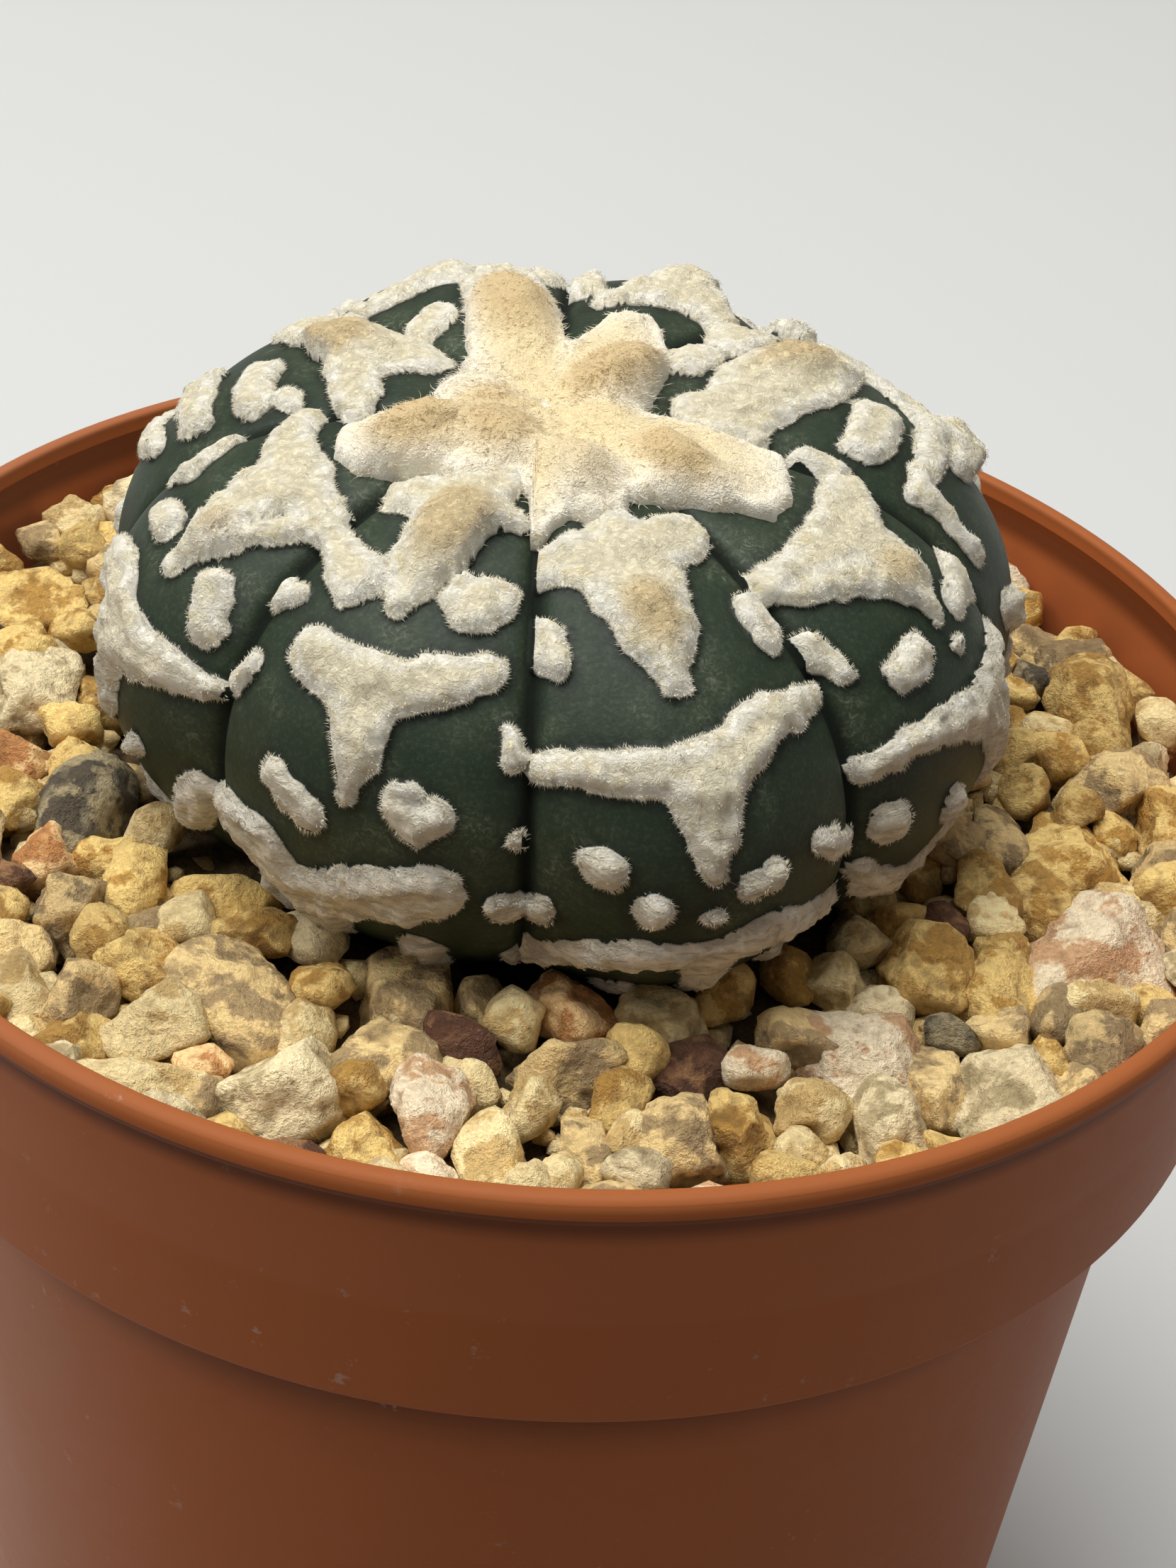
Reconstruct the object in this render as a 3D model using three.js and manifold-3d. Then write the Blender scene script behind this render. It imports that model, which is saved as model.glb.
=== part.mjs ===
// A star cactus of the V type, growing in a grit-dressed plastic pot.
// Millimetres, +Z up. The origin is the centre of the pot's foot, on the surface that it stands on.
import * as THREE from "three";
import { mergeVertices } from "three/addons/utils/BufferGeometryUtils.js";
import Module from "manifold-3d";

const wasm = await Module();
wasm.setup();

// Driving dimensions of the pot
const POT_HEIGHT = 68;
const RIM_RADIUS = 37.5;
const WALL = 1.1;
const LIP_HEIGHT = 1.5;
const LIP_OVERHANG = 0.6;
const COLLAR_HEIGHT = 14.1;
const COLLAR_TAPER = 0.5;
const SHOULDER_INSET = 2.6;
const BODY_TAPER = 3.0;
const FOOT_HEIGHT = 1.6;
const FOOT_WIDTH = 2.8;
const FLOOR_THICKNESS = 1.4;
const CENTRE_HOLE_RADIUS = 4;
const OUTER_HOLE_RADIUS = 2.6;
const OUTER_HOLE_CIRCLE = 20;
const OUTER_HOLES = 6;
const POT_SIDES = 48;

// Driving dimensions of what fills the pot
const FIT_GAP = 0.3;
const MIX_TOP = 56.2;
const GRIT_BASE = MIX_TOP + FIT_GAP;
const GRIT_LEVEL = POT_HEIGHT - 3.8;
const GRIT_SLOPE = -0.022;
const GRIT_INNER_RADIUS = 17.5;
const GRIT_SIDES = 136;
const GRIT_RINGS = 13;
const CRACK_DEPTH = 1.3;
const CRACK_SNAP = 0.38;
const STONE_BEVEL = 1;
const STONE_TILT = 0.28;
const PLANT_CLEARANCE = 1.4;

// Driving dimensions of the plant
const PLANT_X = -1.4;
const PLANT_Y = 1.1;
const WAIST_Z = POT_HEIGHT + 3;
const GIRTH = 24.4;
const CROWN_RISE = 12.9;
const BASE_DROP = 14.1;
const CROWN_ROUNDNESS = 2.3;
const BASE_ROUNDNESS = 1.9;
const DIMPLE_DEPTH = 0.8;
const DIMPLE_RADIUS = 4.5;
const LEAN_X = -0.03;
const LEAN_Y = -0.08;
const GROOVE_DEPTH = 0.07;
const GROOVE_SHARPNESS = 2.2;
const SHOULDER_DOWN = 17;
const SHOULDER_WIDTH = 7;
const RIDGE_STEPS = 1500;
const SKIN_DETAIL = 21;
const SHOWN_SHARE = 0.7;
const SHOWN_LENGTH = 0.61;
const SNAP = 0.42;
const FELT_LIFT = 0.8;
const FELT_BLEND = 0.45;
const WOOL_THICKNESS = 0.9;
const WOOL_RINGS = 12;
const WOOL_SEAT = 0.8;
const SEAT_MARGIN = 1.3;
const SEAT_TURN = 0.1;
const HOLE_DETAIL = 5;
const ROOT_TOP = MIX_TOP + FIT_GAP;
const ROOT_LENGTH = 26;
const ROOT_RADIUS = 5.5;
const SIDE_ROOTS = 6;

// Colours of the real materials
const TERRACOTTA = 0x9c5a3a;
const DARK_MIX = 0x4a3b2d;
const GRIT_TAN = 0xc2a878;
const SKIN_GREEN = 0x3d4a3a;
const WOOL_CREAM = 0xe6dcc0;
const ROOT_TAN = 0xb59a70;

// The ribs in order round the crown, each from its own groove to the next one's, in degrees.
// Swell is how much further a rib reaches than the mean, and shoulder how much higher it stands.
const RIBS = [
  { groove: -88, swell: 0.02, shoulder: 0 },
  { groove: -47, swell: -0.03, shoulder: 0 },
  { groove: -6, swell: 0.06, shoulder: 1.4 },
  { groove: 54, swell: 0.08, shoulder: 2.1 },
  { groove: 88, swell: 0.07, shoulder: 1.6 },
  { groove: 133, swell: -0.08, shoulder: 0.5 },
  { groove: 184, swell: -0.1, shoulder: 0 },
  { groove: 228, swell: -0.09, shoulder: 0 },
];

// The edge of the crown wool all round: azimuth in degrees, and how far down it reaches.
const WOOL_EDGE = [
  [-92, 8.1], [-90, 11.6], [-85, 10.4], [-80, 9.6], [-72, 9.8], [-65, 9.8], [-60, 8.9],
  [-53, 9.2], [-45, 9.9], [-37, 11.4], [-31, 13.3], [-23, 13.3], [-10, 12.3], [-6, 9.8],
  [-2, 7], [6, 5.3], [20, 5.4], [32, 6.6], [48, 9], [58, 10.8], [66, 11.8], [74, 10.6],
  [79, 7.2], [84, 7.4], [90, 10.4], [98, 12.4], [108, 12.4], [115, 10.4], [126, 7.1],
  [140, 5.8], [162, 5.6], [180, 6], [191, 6.8], [197, 8.8], [200, 10.8], [208, 11.4],
  [216, 11.3], [222, 10.7], [227, 9.7], [234, 8.9], [244, 8.5], [256, 7.8], [264, 7.8],
];

// Felt flecks of each rib. A run is a list of [across the rib, down from the crown, half width].
// Runs that touch grow together into the V shaped stars; short ones are the dots between them.
const FLECKS = [
  [
    [[-4.5, 13.1, 1.3], [-2, 12.2, 1.8], [0, 12, 2.3], [2.5, 11.9, 1.7], [4.3, 11.6, 1.2]],
    [[-0.5, 10.4, 1.4], [-0.5, 13.5, 2.7], [-0.6, 16.6, 2.1], [-0.5, 19.4, 0.8]],
    [[-5.3, 16.8, 0.9], [-5.8, 18.8, 1]],
    [[4.6, 16.6, 1], [5.2, 18.5, 1]],
    [[-8, 24.2, 0.8], [-5, 23.6, 1.1], [0, 23.4, 1.7], [3.4, 21.9, 1.4], [7, 22, 0.8]],
    [[-0.4, 24.5, 2], [-0.4, 26.5, 1.3], [-0.5, 28.2, 0.6]],
    [[-5.2, 28.3, 1.2]],
    [[-3, 30.1, 1.1]],
    [[-0.4, 30.4, 0.7]],
    [[1.2, 29.1, 0.9], [2.4, 28.8, 1]],
    [[5.4, 28.4, 0.8], [8, 29.9, 0.9]],
    [[-7.6, 36, 1.2], [-5.5, 34.2, 1.1], [-3.5, 33, 1.1], [0, 33, 1.2], [3, 32.2, 1.3], [8.5, 34.2, 0.8]],
    [[0, 34, 1.3], [0.4, 38, 1]],
    [[-8, 31.8, 1.1]],
    [[-3.2, 38.6, 1.1]],
    [[4.4, 36.8, 1.1]],
  ],
  [
    [[-5.2, 15.8, 1.2], [-2.5, 15.9, 1.4], [1.3, 16.1, 2.3], [4.2, 15.6, 1.8], [5.6, 15.4, 1.4]],
    [[1.3, 17.5, 2.3], [1.9, 20, 1.6], [1.5, 22.2, 0.6]],
    [[-4.2, 16.9, 1], [-1.2, 17.8, 1.3], [1, 19.4, 1]],
    [[-6.2, 19.9, 1.1], [-6, 21.3, 1]],
    [[-3.2, 22.8, 1.1], [-1.3, 22.6, 1.3]],
    [[1.8, 23.9, 0.7]],
    [[3.7, 22.3, 1], [6.2, 22.2, 1.5]],
    [[-7.8, 26.4, 0.8], [-5, 26, 0.9], [-2, 26.3, 1.1], [1.5, 27.3, 1.6], [6.3, 25.8, 1]],
    [[3.5, 28, 2], [4.2, 31, 1.2], [4.4, 33, 0.7]],
    [[-6.7, 29.8, 1.3]],
    [[-1.5, 31, 1.2]],
    [[-7.8, 32.4, 0.8], [-6, 34.5, 1.3], [-3, 36, 1.2], [1, 36.4, 1.2], [6.5, 35.6, 0.9]],
    [[1, 36.6, 1.3], [1.2, 39.4, 0.8]],
  ],
  [
    [[-5.8, 12.6, 0.7], [-7.2, 14.6, 1.2]],
    [[-1.4, 7.6, 1.6], [-2.4, 9.4, 2.4], [-0.2, 11.3, 2.6], [0.6, 13.6, 2.6], [2.4, 16.2, 2],
      [4.4, 18.6, 1.4]],
    [[-3.6, 9.6, 1.5], [-4.8, 10.4, 0.9]],
    [[2.7, 8.7, 0.9], [4.2, 10.3, 1.2]],
    [[6.2, 14.4, 1.7], [4.4, 12.6, 1.2]],
    [[7.2, 18.2, 1.4]],
    [[-4.7, 16, 1.5], [-2.4, 16.8, 1.6]],
    [[5.2, 19.6, 1.2], [2, 20.2, 1.2], [-1.6, 20.3, 1.1], [-5, 19.4, 1], [-7.6, 19, 0.8]],
    [[-7.4, 19.2, 0.8], [-8.4, 21.8, 0.7], [-9.2, 23.8, 0.5]],
    [[-0.8, 22.4, 1.7], [-3, 22, 1]],
    [[0.5, 25.8, 1], [3.6, 25.2, 1.6], [7.6, 23.8, 1]],
    [[4, 25.6, 1.8], [4.4, 29.4, 0.8]],
    [[-9, 27.6, 1.2], [-5.5, 29.8, 1.3]],
  ],
  [
    [[1.6, 12.4, 0.9], [0, 14.4, 1.7], [-2.8, 15.6, 1.8], [-5.6, 15, 1.6]],
    [[-1, 16.4, 2], [-1.2, 20.2, 1]],
    [[2.9, 13.8, 0.9], [4.4, 16.4, 1.4]],
    [[-6.8, 18.6, 1.3]],
  ],
  [
    [[-1.4, 8.5, 2.7], [-1.8, 11, 2.6], [-2.2, 13.4, 2.2], [-2.8, 15.8, 1.6], [-3, 16.8, 1]],
    [[2.4, 11.3, 1.4], [3.8, 10.4, 1.4]],
    [[6, 16.4, 1], [4.4, 16, 1.2], [2.2, 15.5, 1.3], [0.4, 16, 1.4], [-0.6, 17.6, 1.2]],
    [[-5.4, 17.2, 1.2], [-4.8, 15.2, 0.5]],
  ],
  [
    [[-1.8, 7.4, 1.3], [-1.8, 9.4, 2.3], [-2.4, 11.8, 2.7], [-4, 14.8, 2.2], [-4.6, 17.5, 1.4]],
    [[0.8, 10.2, 1.9], [3.2, 9.7, 1.5]],
    [[-3.8, 9.6, 0.9]],
    [[1.2, 15.9, 1.4], [4.6, 15.7, 1.3]],
    [[0.5, 20.6, 1.6], [5.2, 19.4, 1.4]],
    [[3.8, 13.4, 1.2]],
  ],
  [
    [[-3, 9.4, 0.9]],
    [[-4.4, 12.4, 1.2], [-2, 13.2, 1.7], [0.5, 13.6, 2.1], [4.4, 14.4, 1.4], [5.6, 15.2, 0.9]],
    [[0.8, 15.5, 2.3], [1.3, 19, 1.6], [1.5, 21.8, 0.8]],
    [[4.6, 15.4, 1.2], [3.4, 17.6, 0.9], [2.6, 19.8, 0.6]],
    [[-5.9, 16.9, 0.9], [-4.8, 18.9, 0.9], [-6, 20.5, 0.6]],
    [[-2.7, 20.9, 1.1], [-1.6, 20.8, 1.2]],
    [[4.4, 21, 1.1], [6.2, 23.4, 1.2]],
    [[8.2, 20, 0.9]],
    [[-6, 25.8, 1.3], [-2.5, 24.8, 1.7], [0, 26.2, 2], [3, 26.5, 1.6], [6, 26, 1.2], [8.6, 25.9, 0.7]],
    [[0, 27.5, 2], [-0.5, 31, 1.2]],
    [[3, 31.8, 0.9]],
    [[8.2, 32, 1.3], [6, 35, 1.2]],
    [[-6.4, 31.6, 1.1]],
    [[-6, 36.4, 1], [-2, 37.4, 1.2], [2.4, 37.8, 1]],
  ],
  [
    [[-5.8, 15, 1.2], [-3, 16.5, 1.9]],
    [[0.8, 7, 1.4], [0, 11, 2.3], [0, 14, 2], [0, 17.3, 0.8]],
    [[0, 9.8, 2.1], [-3.4, 10.8, 1.3]],
    [[2, 10, 1.2], [3.2, 10.3, 0.5]],
    [[3.4, 15.9, 1.9]],
    [[-5.8, 18.9, 0.9], [-7.2, 19.4, 1.1]],
    [[-3.4, 21.2, 1.6], [-1, 21.9, 1.9], [1.2, 21.8, 1.6], [3, 20.7, 1.7], [4.9, 19.8, 1.3]],
    [[0.1, 22, 2.2], [0.4, 25.3, 1.3], [0.2, 27.2, 0.7]],
    [[-3.9, 27.8, 1], [-2, 28.8, 1.1]],
    [[3.2, 26.9, 1.3], [3.7, 27.5, 1.2], [4.8, 27, 1]],
    [[-6.9, 23, 0.6], [-8.2, 24.8, 0.8]],
    [[7, 22.2, 0.6], [7.8, 23.8, 0.8]],
    [[8.9, 28, 0.6]],
    [[8.4, 31.9, 1.2]],
    [[-8.5, 32.5, 1.9], [-5.2, 32.5, 2.1], [-2.9, 34, 1.7], [0.6, 33, 1.9], [5, 31.1, 1.7]],
    [[-2, 34, 1.8], [-1.8, 38, 1.3]],
    [[-6.2, 37, 0.8], [-4.8, 38.2, 0.8]],
    [[3.5, 36.6, 1.3], [3.2, 39, 1.2]],
    [[8, 37.5, 0.8]],
  ],
];

// Ribs whose lower half the seeded rule fills with stars and dots, and where it starts.
const RULED_RIBS = { 2: 33, 3: 23, 4: 23, 5: 26 };
const FLECK_SEED = 41;

// Wool tufts on the areoles: rib, across, down, radius across, radius down, height over the felt.
const TUFTS = [
  [7, 0.6, 12, 1.9, 3, 1.1],
  [0, -0.6, 16, 1.4, 2.1, 0.6],
  [1, 1.2, 19, 1.5, 1.3, 0.4],
  [2, 1.5, 13.6, 1.5, 2.4, 1.1],
  [3, -1.8, 17.6, 2.4, 1.7, 0.8],
  [2, 7, 17.9, 1.6, 1.6, 0.7],
  [5, -1.2, 12.6, 2.1, 2.6, 1.1],
  [6, 2, 18.6, 1.2, 1.5, 0.6],
  [2, -0.8, 22.6, 2.1, 2, 1],
];

// Tufts that stand on the crown wool: azimuth in degrees, down, radius across, radius along, height.
const CROWN_TUFTS = [
  [42, 4.6, 1.9, 3, 1.7],
  [103, 9, 2.1, 3, 1.7],
  [218, 7.6, 2, 2.5, 1.5],
  [243, 4.6, 2.3, 2.1, 1.4],
  [195, 2.6, 1.8, 2, 0.6],
  [-36, 7.8, 1.5, 2.3, 1.3],
  [-75, 6.5, 1.6, 2, 1.3],
  [130, 4, 1.8, 2, 0.4],
  [-20, 3, 1.4, 1.6, 0.5],
];

// The larger stones that show: x, y and half width.
const KNOWN_STONES = [
  [-29, 10, 3], [-27, 1, 2.3], [-24.9, -1.5, 1.5], [-27.2, -4, 1.8], [-22.8, -8.4, 2.3],
  [-26.4, -8.4, 1.7], [-23.8, -12.4, 1.9], [-19.2, -14.2, 1.7], [-21.9, -17, 2.1], [-16.1, -16.6, 1.5],
  [-18.2, -17.5, 1.5], [-17.7, -20.5, 2.2], [-13.3, -21.3, 3], [-16.6, -24.4, 1.8], [-22.9, -22.4, 1.6],
  [-20.4, -22.8, 1.7], [-16.8, -28, 2.4], [-14, -26.6, 1], [-10.6, -28, 3], [-9.8, -23.2, 1.5],
  [-9.6, -20.2, 1.4], [-6.2, -24.6, 2.2], [-3.8, -28, 1.8], [-6.6, -30.8, 1.8], [-1, -30.6, 1.5],
  [-3.6, -31.9, 1.1], [0.5, -27, 1.3], [-2.9, -23.2, 1.9], [2, -24.2, 2], [4.4, -25.7, 1.6],
  [5, -22.8, 1.2], [7.5, -23.4, 1.9], [2.9, -29.1, 1.4], [4.8, -28.3, 1.2], [2, -31.5, 1.2],
  [5.3, -31.2, 1.3], [7.4, -28.3, 2], [9.7, -26.8, 1.8], [8.6, -31.6, 1.4], [10.5, -23.2, 1.4],
  [12.7, -25.1, 1.6], [12.5, -28.2, 1.3], [14, -29.9, 1.5], [12.3, -20.9, 1.7], [15, -20.8, 2.7],
  [16.2, -25.9, 2.1], [18.8, -22.6, 1.8], [19.8, -18.9, 1.2], [22, -23.2, 3], [18.8, -14.8, 2.1],
  [22.4, -15.5, 2.2], [26.9, -11.8, 4], [27, -3.6, 2.9], [26.9, -19.4, 2.1], [30, 3, 2.7],
  [29.6, 10, 3], [23.6, -2.6, 1.6], [22, -8, 1.7], [19.6, -11, 1.4], [31.8, -3.2, 1.6],
];
const STONE_SEED = 7;
const STONE_TRIES = 2600;
const SMALL_STONE = 1.2;
const LARGE_STONE = 2.6;
const STONE_PACKING = 0.8;

// A small seeded random number generator, so that every build is the same.
function seededRandom(seed) {
  let state = seed >>> 0;
  return () => {
    state = (Math.imul(state, 1664525) + 1013904223) >>> 0;
    return state / 4294967296;
  };
}

// three.js geometry to a manifold solid, and back.
function toSolid(geometry) {
  const bare = geometry.clone();
  bare.deleteAttribute("normal");
  bare.deleteAttribute("uv");
  const merged = mergeVertices(bare, 1e-4);
  const vertProperties = new Float32Array(merged.attributes.position.array);
  const triVerts = new Uint32Array(merged.index.array);
  return new wasm.Manifold(new wasm.Mesh({ numProp: 3, vertProperties, triVerts }));
}

function toGeometry(solid) {
  const mesh = solid.getMesh();
  const geometry = new THREE.BufferGeometry();
  geometry.setAttribute("position", new THREE.BufferAttribute(mesh.vertProperties, 3));
  geometry.setIndex(new THREE.BufferAttribute(mesh.triVerts, 1));
  return geometry;
}

// The largest body of a solid, without the loose scraps that a cut leaves.
function largestBody(solid) {
  return solid.decompose().reduce((best, body) => (body.volume() > best.volume() ? body : best));
}

// A profile of [radius, height] pairs turned round the Z axis.
function turned(profile, sides) {
  const points = profile.map(([radius, height]) => new THREE.Vector2(radius, height));
  return new THREE.LatheGeometry(points, sides).rotateX(Math.PI / 2);
}

function mix(a, b, share) {
  return a + (b - a) * share;
}

function clamp(value, low, high) {
  return Math.min(Math.max(value, low), high);
}

// Radii of the pot's outer face, from which its inner face and its filling are worked out.
const COLLAR_TOP_RADIUS = RIM_RADIUS - LIP_OVERHANG;
const COLLAR_FOOT_RADIUS = COLLAR_TOP_RADIUS - COLLAR_TAPER;
const SHOULDER_RADIUS = COLLAR_FOOT_RADIUS - SHOULDER_INSET;
const FOOT_RADIUS = SHOULDER_RADIUS - BODY_TAPER;
const SHOULDER_Z = POT_HEIGHT - COLLAR_HEIGHT;
const FLOOR_TOP = FOOT_HEIGHT + FLOOR_THICKNESS;
const GRIT_RADIUS = COLLAR_FOOT_RADIUS - WALL - FIT_GAP;

function pot() {
  const lipBase = POT_HEIGHT - LIP_HEIGHT;
  const inner = RIM_RADIUS - WALL;
  const outline = [
    [0, FOOT_HEIGHT],
    [FOOT_RADIUS - FOOT_WIDTH, FOOT_HEIGHT],
    [FOOT_RADIUS - FOOT_WIDTH, 0],
    [FOOT_RADIUS - 0.6, 0],
    [FOOT_RADIUS, 0.8],
    [SHOULDER_RADIUS, SHOULDER_Z],
    [COLLAR_FOOT_RADIUS, SHOULDER_Z],
    [COLLAR_TOP_RADIUS, lipBase],
    [RIM_RADIUS, lipBase],
    [RIM_RADIUS, POT_HEIGHT - 0.4],
    [RIM_RADIUS - 0.35, POT_HEIGHT],
    [inner, POT_HEIGHT],
    [COLLAR_FOOT_RADIUS - WALL, SHOULDER_Z + WALL],
    [SHOULDER_RADIUS - WALL, SHOULDER_Z + WALL],
    [FOOT_RADIUS - WALL, FLOOR_TOP],
    [0, FLOOR_TOP],
  ];
  let solid = toSolid(turned(outline, POT_SIDES));
  const drill = (radius, x, y) => {
    const cutter = new THREE.CylinderGeometry(radius, radius, 3 * FLOOR_TOP, 12).rotateX(Math.PI / 2);
    solid = solid.subtract(toSolid(cutter.translate(x, y, 0)));
  };
  drill(CENTRE_HOLE_RADIUS, 0, 0);
  for (let hole = 0; hole < OUTER_HOLES; hole += 1) {
    const turn = (hole / OUTER_HOLES) * 2 * Math.PI;
    drill(OUTER_HOLE_RADIUS, OUTER_HOLE_CIRCLE * Math.cos(turn), OUTER_HOLE_CIRCLE * Math.sin(turn));
  }
  return toGeometry(solid);
}

// The ridge line in a half plane through the plant's axis, by latitude from the waist.
function ridge(latitude) {
  const above = latitude >= 0;
  const power = 2 / (above ? CROWN_ROUNDNESS : BASE_ROUNDNESS);
  const reach = GIRTH * Math.max(Math.cos(latitude), 0) ** power;
  const rise = (above ? CROWN_RISE : -BASE_DROP) * Math.abs(Math.sin(latitude)) ** power;
  const dimple = above ? DIMPLE_DEPTH * Math.exp(-((reach / DIMPLE_RADIUS) ** 2)) : 0;
  return { reach, rise: rise - dimple };
}

// Length of the ridge line from the crown down, so that places on it are real distances.
const RIDGE = [];
for (let step = 0, length = 0; step <= RIDGE_STEPS; step += 1) {
  const latitude = Math.PI / 2 - (Math.PI * step) / RIDGE_STEPS;
  const point = ridge(latitude);
  if (step > 0) {
    const last = RIDGE[step - 1];
    length += Math.hypot(point.reach - last.reach, point.rise - last.rise);
  }
  RIDGE.push({ ...point, length });
}
const RIDGE_LENGTH = RIDGE[RIDGE_STEPS].length;

// The point of the ridge line at a distance down from the crown, with its outward direction.
function ridgeAt(down) {
  const target = clamp(down, 0, RIDGE_LENGTH);
  let low = 0;
  let high = RIDGE_STEPS;
  while (high - low > 1) {
    const middle = (low + high) >> 1;
    if (RIDGE[middle].length < target) low = middle;
    else high = middle;
  }
  const span = RIDGE[high].length - RIDGE[low].length;
  const share = (target - RIDGE[low].length) / Math.max(span, 1e-9);
  const reach = mix(RIDGE[low].reach, RIDGE[high].reach, share);
  const rise = mix(RIDGE[low].rise, RIDGE[high].rise, share);
  const out = -(RIDGE[high].rise - RIDGE[low].rise) / Math.max(span, 1e-9);
  const up = (RIDGE[high].reach - RIDGE[low].reach) / Math.max(span, 1e-9);
  return { reach, rise, out, up };
}

function radians(degrees) {
  return (degrees * Math.PI) / 180;
}

// Which rib a direction round the crown falls on, and where across it from -1 to 1.
function ribAt(azimuth) {
  const start = radians(RIBS[0].groove);
  const turn = (((azimuth - start) % (2 * Math.PI)) + 2 * Math.PI) % (2 * Math.PI);
  let rib = RIBS.length - 1;
  while (rib > 0 && radians(RIBS[rib].groove) - start > turn) rib -= 1;
  const from = radians(RIBS[rib].groove) - start;
  const to = rib < RIBS.length - 1 ? radians(RIBS[rib + 1].groove) - start : 2 * Math.PI;
  return { rib, across: (2 * (turn - from)) / (to - from) - 1, halfWidth: (to - from) / 2 };
}

// The direction round the crown of a place across a rib.
function azimuthOf(rib, across) {
  const from = radians(RIBS[rib].groove);
  const to = rib < RIBS.length - 1 ? radians(RIBS[rib + 1].groove) : radians(RIBS[0].groove) + 2 * Math.PI;
  return mix(from, to, (across + 1) / 2);
}

// A point of the ribbed skin, raised outward by lift. Swell and shoulder blend across the grooves.
function skinPoint(azimuth, down, lift) {
  const { rib, across } = ribAt(azimuth);
  const toGroove = 1 - Math.abs(across);
  const neighbour = (rib + (across < 0 ? RIBS.length - 1 : 1)) % RIBS.length;
  const ownShare = 0.5 + 0.25 * (1 - Math.cos(Math.PI * toGroove));
  const swell = mix(RIBS[neighbour].swell, RIBS[rib].swell, ownShare);
  const shoulder = mix(RIBS[neighbour].shoulder, RIBS[rib].shoulder, ownShare);
  const { reach, rise, out, up } = ridgeAt(down);
  const fullness = reach / GIRTH;
  const groove = 1 - GROOVE_DEPTH * fullness * (1 - toGroove) ** GROOVE_SHARPNESS;
  const radius = reach * groove * (1 + swell * fullness) + lift * out;
  const raised = shoulder * Math.exp(-(((down - SHOULDER_DOWN) / SHOULDER_WIDTH) ** 2));
  const height = rise * groove + lift * up + raised;
  return new THREE.Vector3(
    PLANT_X + radius * Math.cos(azimuth) + LEAN_X * height,
    PLANT_Y + radius * Math.sin(azimuth) + LEAN_Y * height,
    WAIST_Z + height,
  );
}

// Distance from a place on a rib to a run of felt; negative inside it.
function distanceToRun(run, across, down) {
  let nearest = Infinity;
  for (let part = 0; part < Math.max(run.length - 1, 1); part += 1) {
    const [fromAcross, fromDown, fromWidth] = run[part];
    const [toAcross, toDown, toWidth] = run[Math.min(part + 1, run.length - 1)];
    const runAcross = toAcross - fromAcross;
    const runDown = toDown - fromDown;
    const lengthSquared = runAcross ** 2 + runDown ** 2;
    const along = (across - fromAcross) * runAcross + (down - fromDown) * runDown;
    const share = lengthSquared > 0 ? clamp(along / lengthSquared, 0, 1) : 0;
    const gap = Math.hypot(across - fromAcross - share * runAcross, down - fromDown - share * runDown);
    nearest = Math.min(nearest, gap - mix(fromWidth, toWidth, share));
  }
  return nearest;
}

// Distance to the nearest felt, with the runs that touch blended into one outline.
function distanceToFelt(runs, across, down) {
  let felt = 9;
  for (const run of runs) {
    const next = distanceToRun(run, across, down);
    const share = clamp(0.5 + (0.5 * (next - felt)) / FELT_BLEND, 0, 1);
    felt = mix(next, felt, share) - FELT_BLEND * share * (1 - share);
  }
  return felt;
}

// Stars in a row down a rib with dots between them, as on the ribs that show.
function ruledFlecks(from, random) {
  const runs = [];
  for (let star = from; star < 40; star += 8.8) {
    const lean = mix(-1.2, 1.2, random());
    const reach = mix(5, 7, random());
    const slope = 2.2 * lean;
    runs.push([
      [lean - reach, star - 1.8 - slope, 0.9], [lean, star, 1.7], [lean + reach, star - 2.2 + slope, 0.9],
    ]);
    runs.push([[lean, star + 0.5, 1.8], [lean - slope, star + 4.6, 0.7]]);
    for (const side of [-1, 1]) {
      const across = side * mix(3.2, 5.4, random());
      const down = star + mix(2.8, 4.6, random());
      const wide = mix(0.9, 1.4, random());
      runs.push([[across, down, wide], [across + 0.5 * slope, down + 1.3 * side, 0.8 * wide]]);
    }
  }
  return runs;
}

const ruleRandom = seededRandom(FLECK_SEED);
for (const [rib, from] of Object.entries(RULED_RIBS)) {
  FLECKS[rib].push(...ruledFlecks(from, ruleRandom));
}

// A flat topped oval hump, one high in its middle.
function bell(aside, along, wide, long) {
  return Math.exp(-(((aside / wide) ** 2 + (along / long) ** 2) ** 1.5));
}

// Height of the areoles' tufts at a place on a rib.
function tuftHeight(rib, across, down) {
  let height = 0;
  for (const [tuftRib, tuftAcross, tuftDown, wide, long, tall] of TUFTS) {
    if (tuftRib === rib) height += tall * bell(across - tuftAcross, down - tuftDown, wide, long);
  }
  return height;
}

// Height of the tufts on the crown wool, laid out as seen from above.
function crownTuftHeight(azimuth, down) {
  let height = 0;
  for (const [degrees, tuftDown, wide, long, tall] of CROWN_TUFTS) {
    const turn = azimuth - radians(degrees);
    height += tall * bell(down * Math.sin(turn), down * Math.cos(turn) - tuftDown, wide, long);
  }
  return height;
}

// How far down the crown wool reaches in a direction, between the places of its edge.
function woolEdge(azimuth) {
  const first = WOOL_EDGE[0][0];
  const degrees = first + (((((azimuth * 180) / Math.PI - first) % 360) + 360) % 360);
  let place = WOOL_EDGE.length - 1;
  while (place > 0 && WOOL_EDGE[place][0] > degrees) place -= 1;
  const [from, fromDown] = WOOL_EDGE[place];
  const [to, toDown] = place < WOOL_EDGE.length - 1 ? WOOL_EDGE[place + 1] : [first + 360, WOOL_EDGE[0][1]];
  return mix(fromDown, toDown, (degrees - from) / (to - from));
}

// The seat is wider than the wool all round, so that their facets stay apart.
function seatEdge(azimuth) {
  const near = [-SEAT_TURN, 0, SEAT_TURN].map((turn) => woolEdge(azimuth + turn));
  return Math.max(...near) + SEAT_MARGIN;
}

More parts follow.
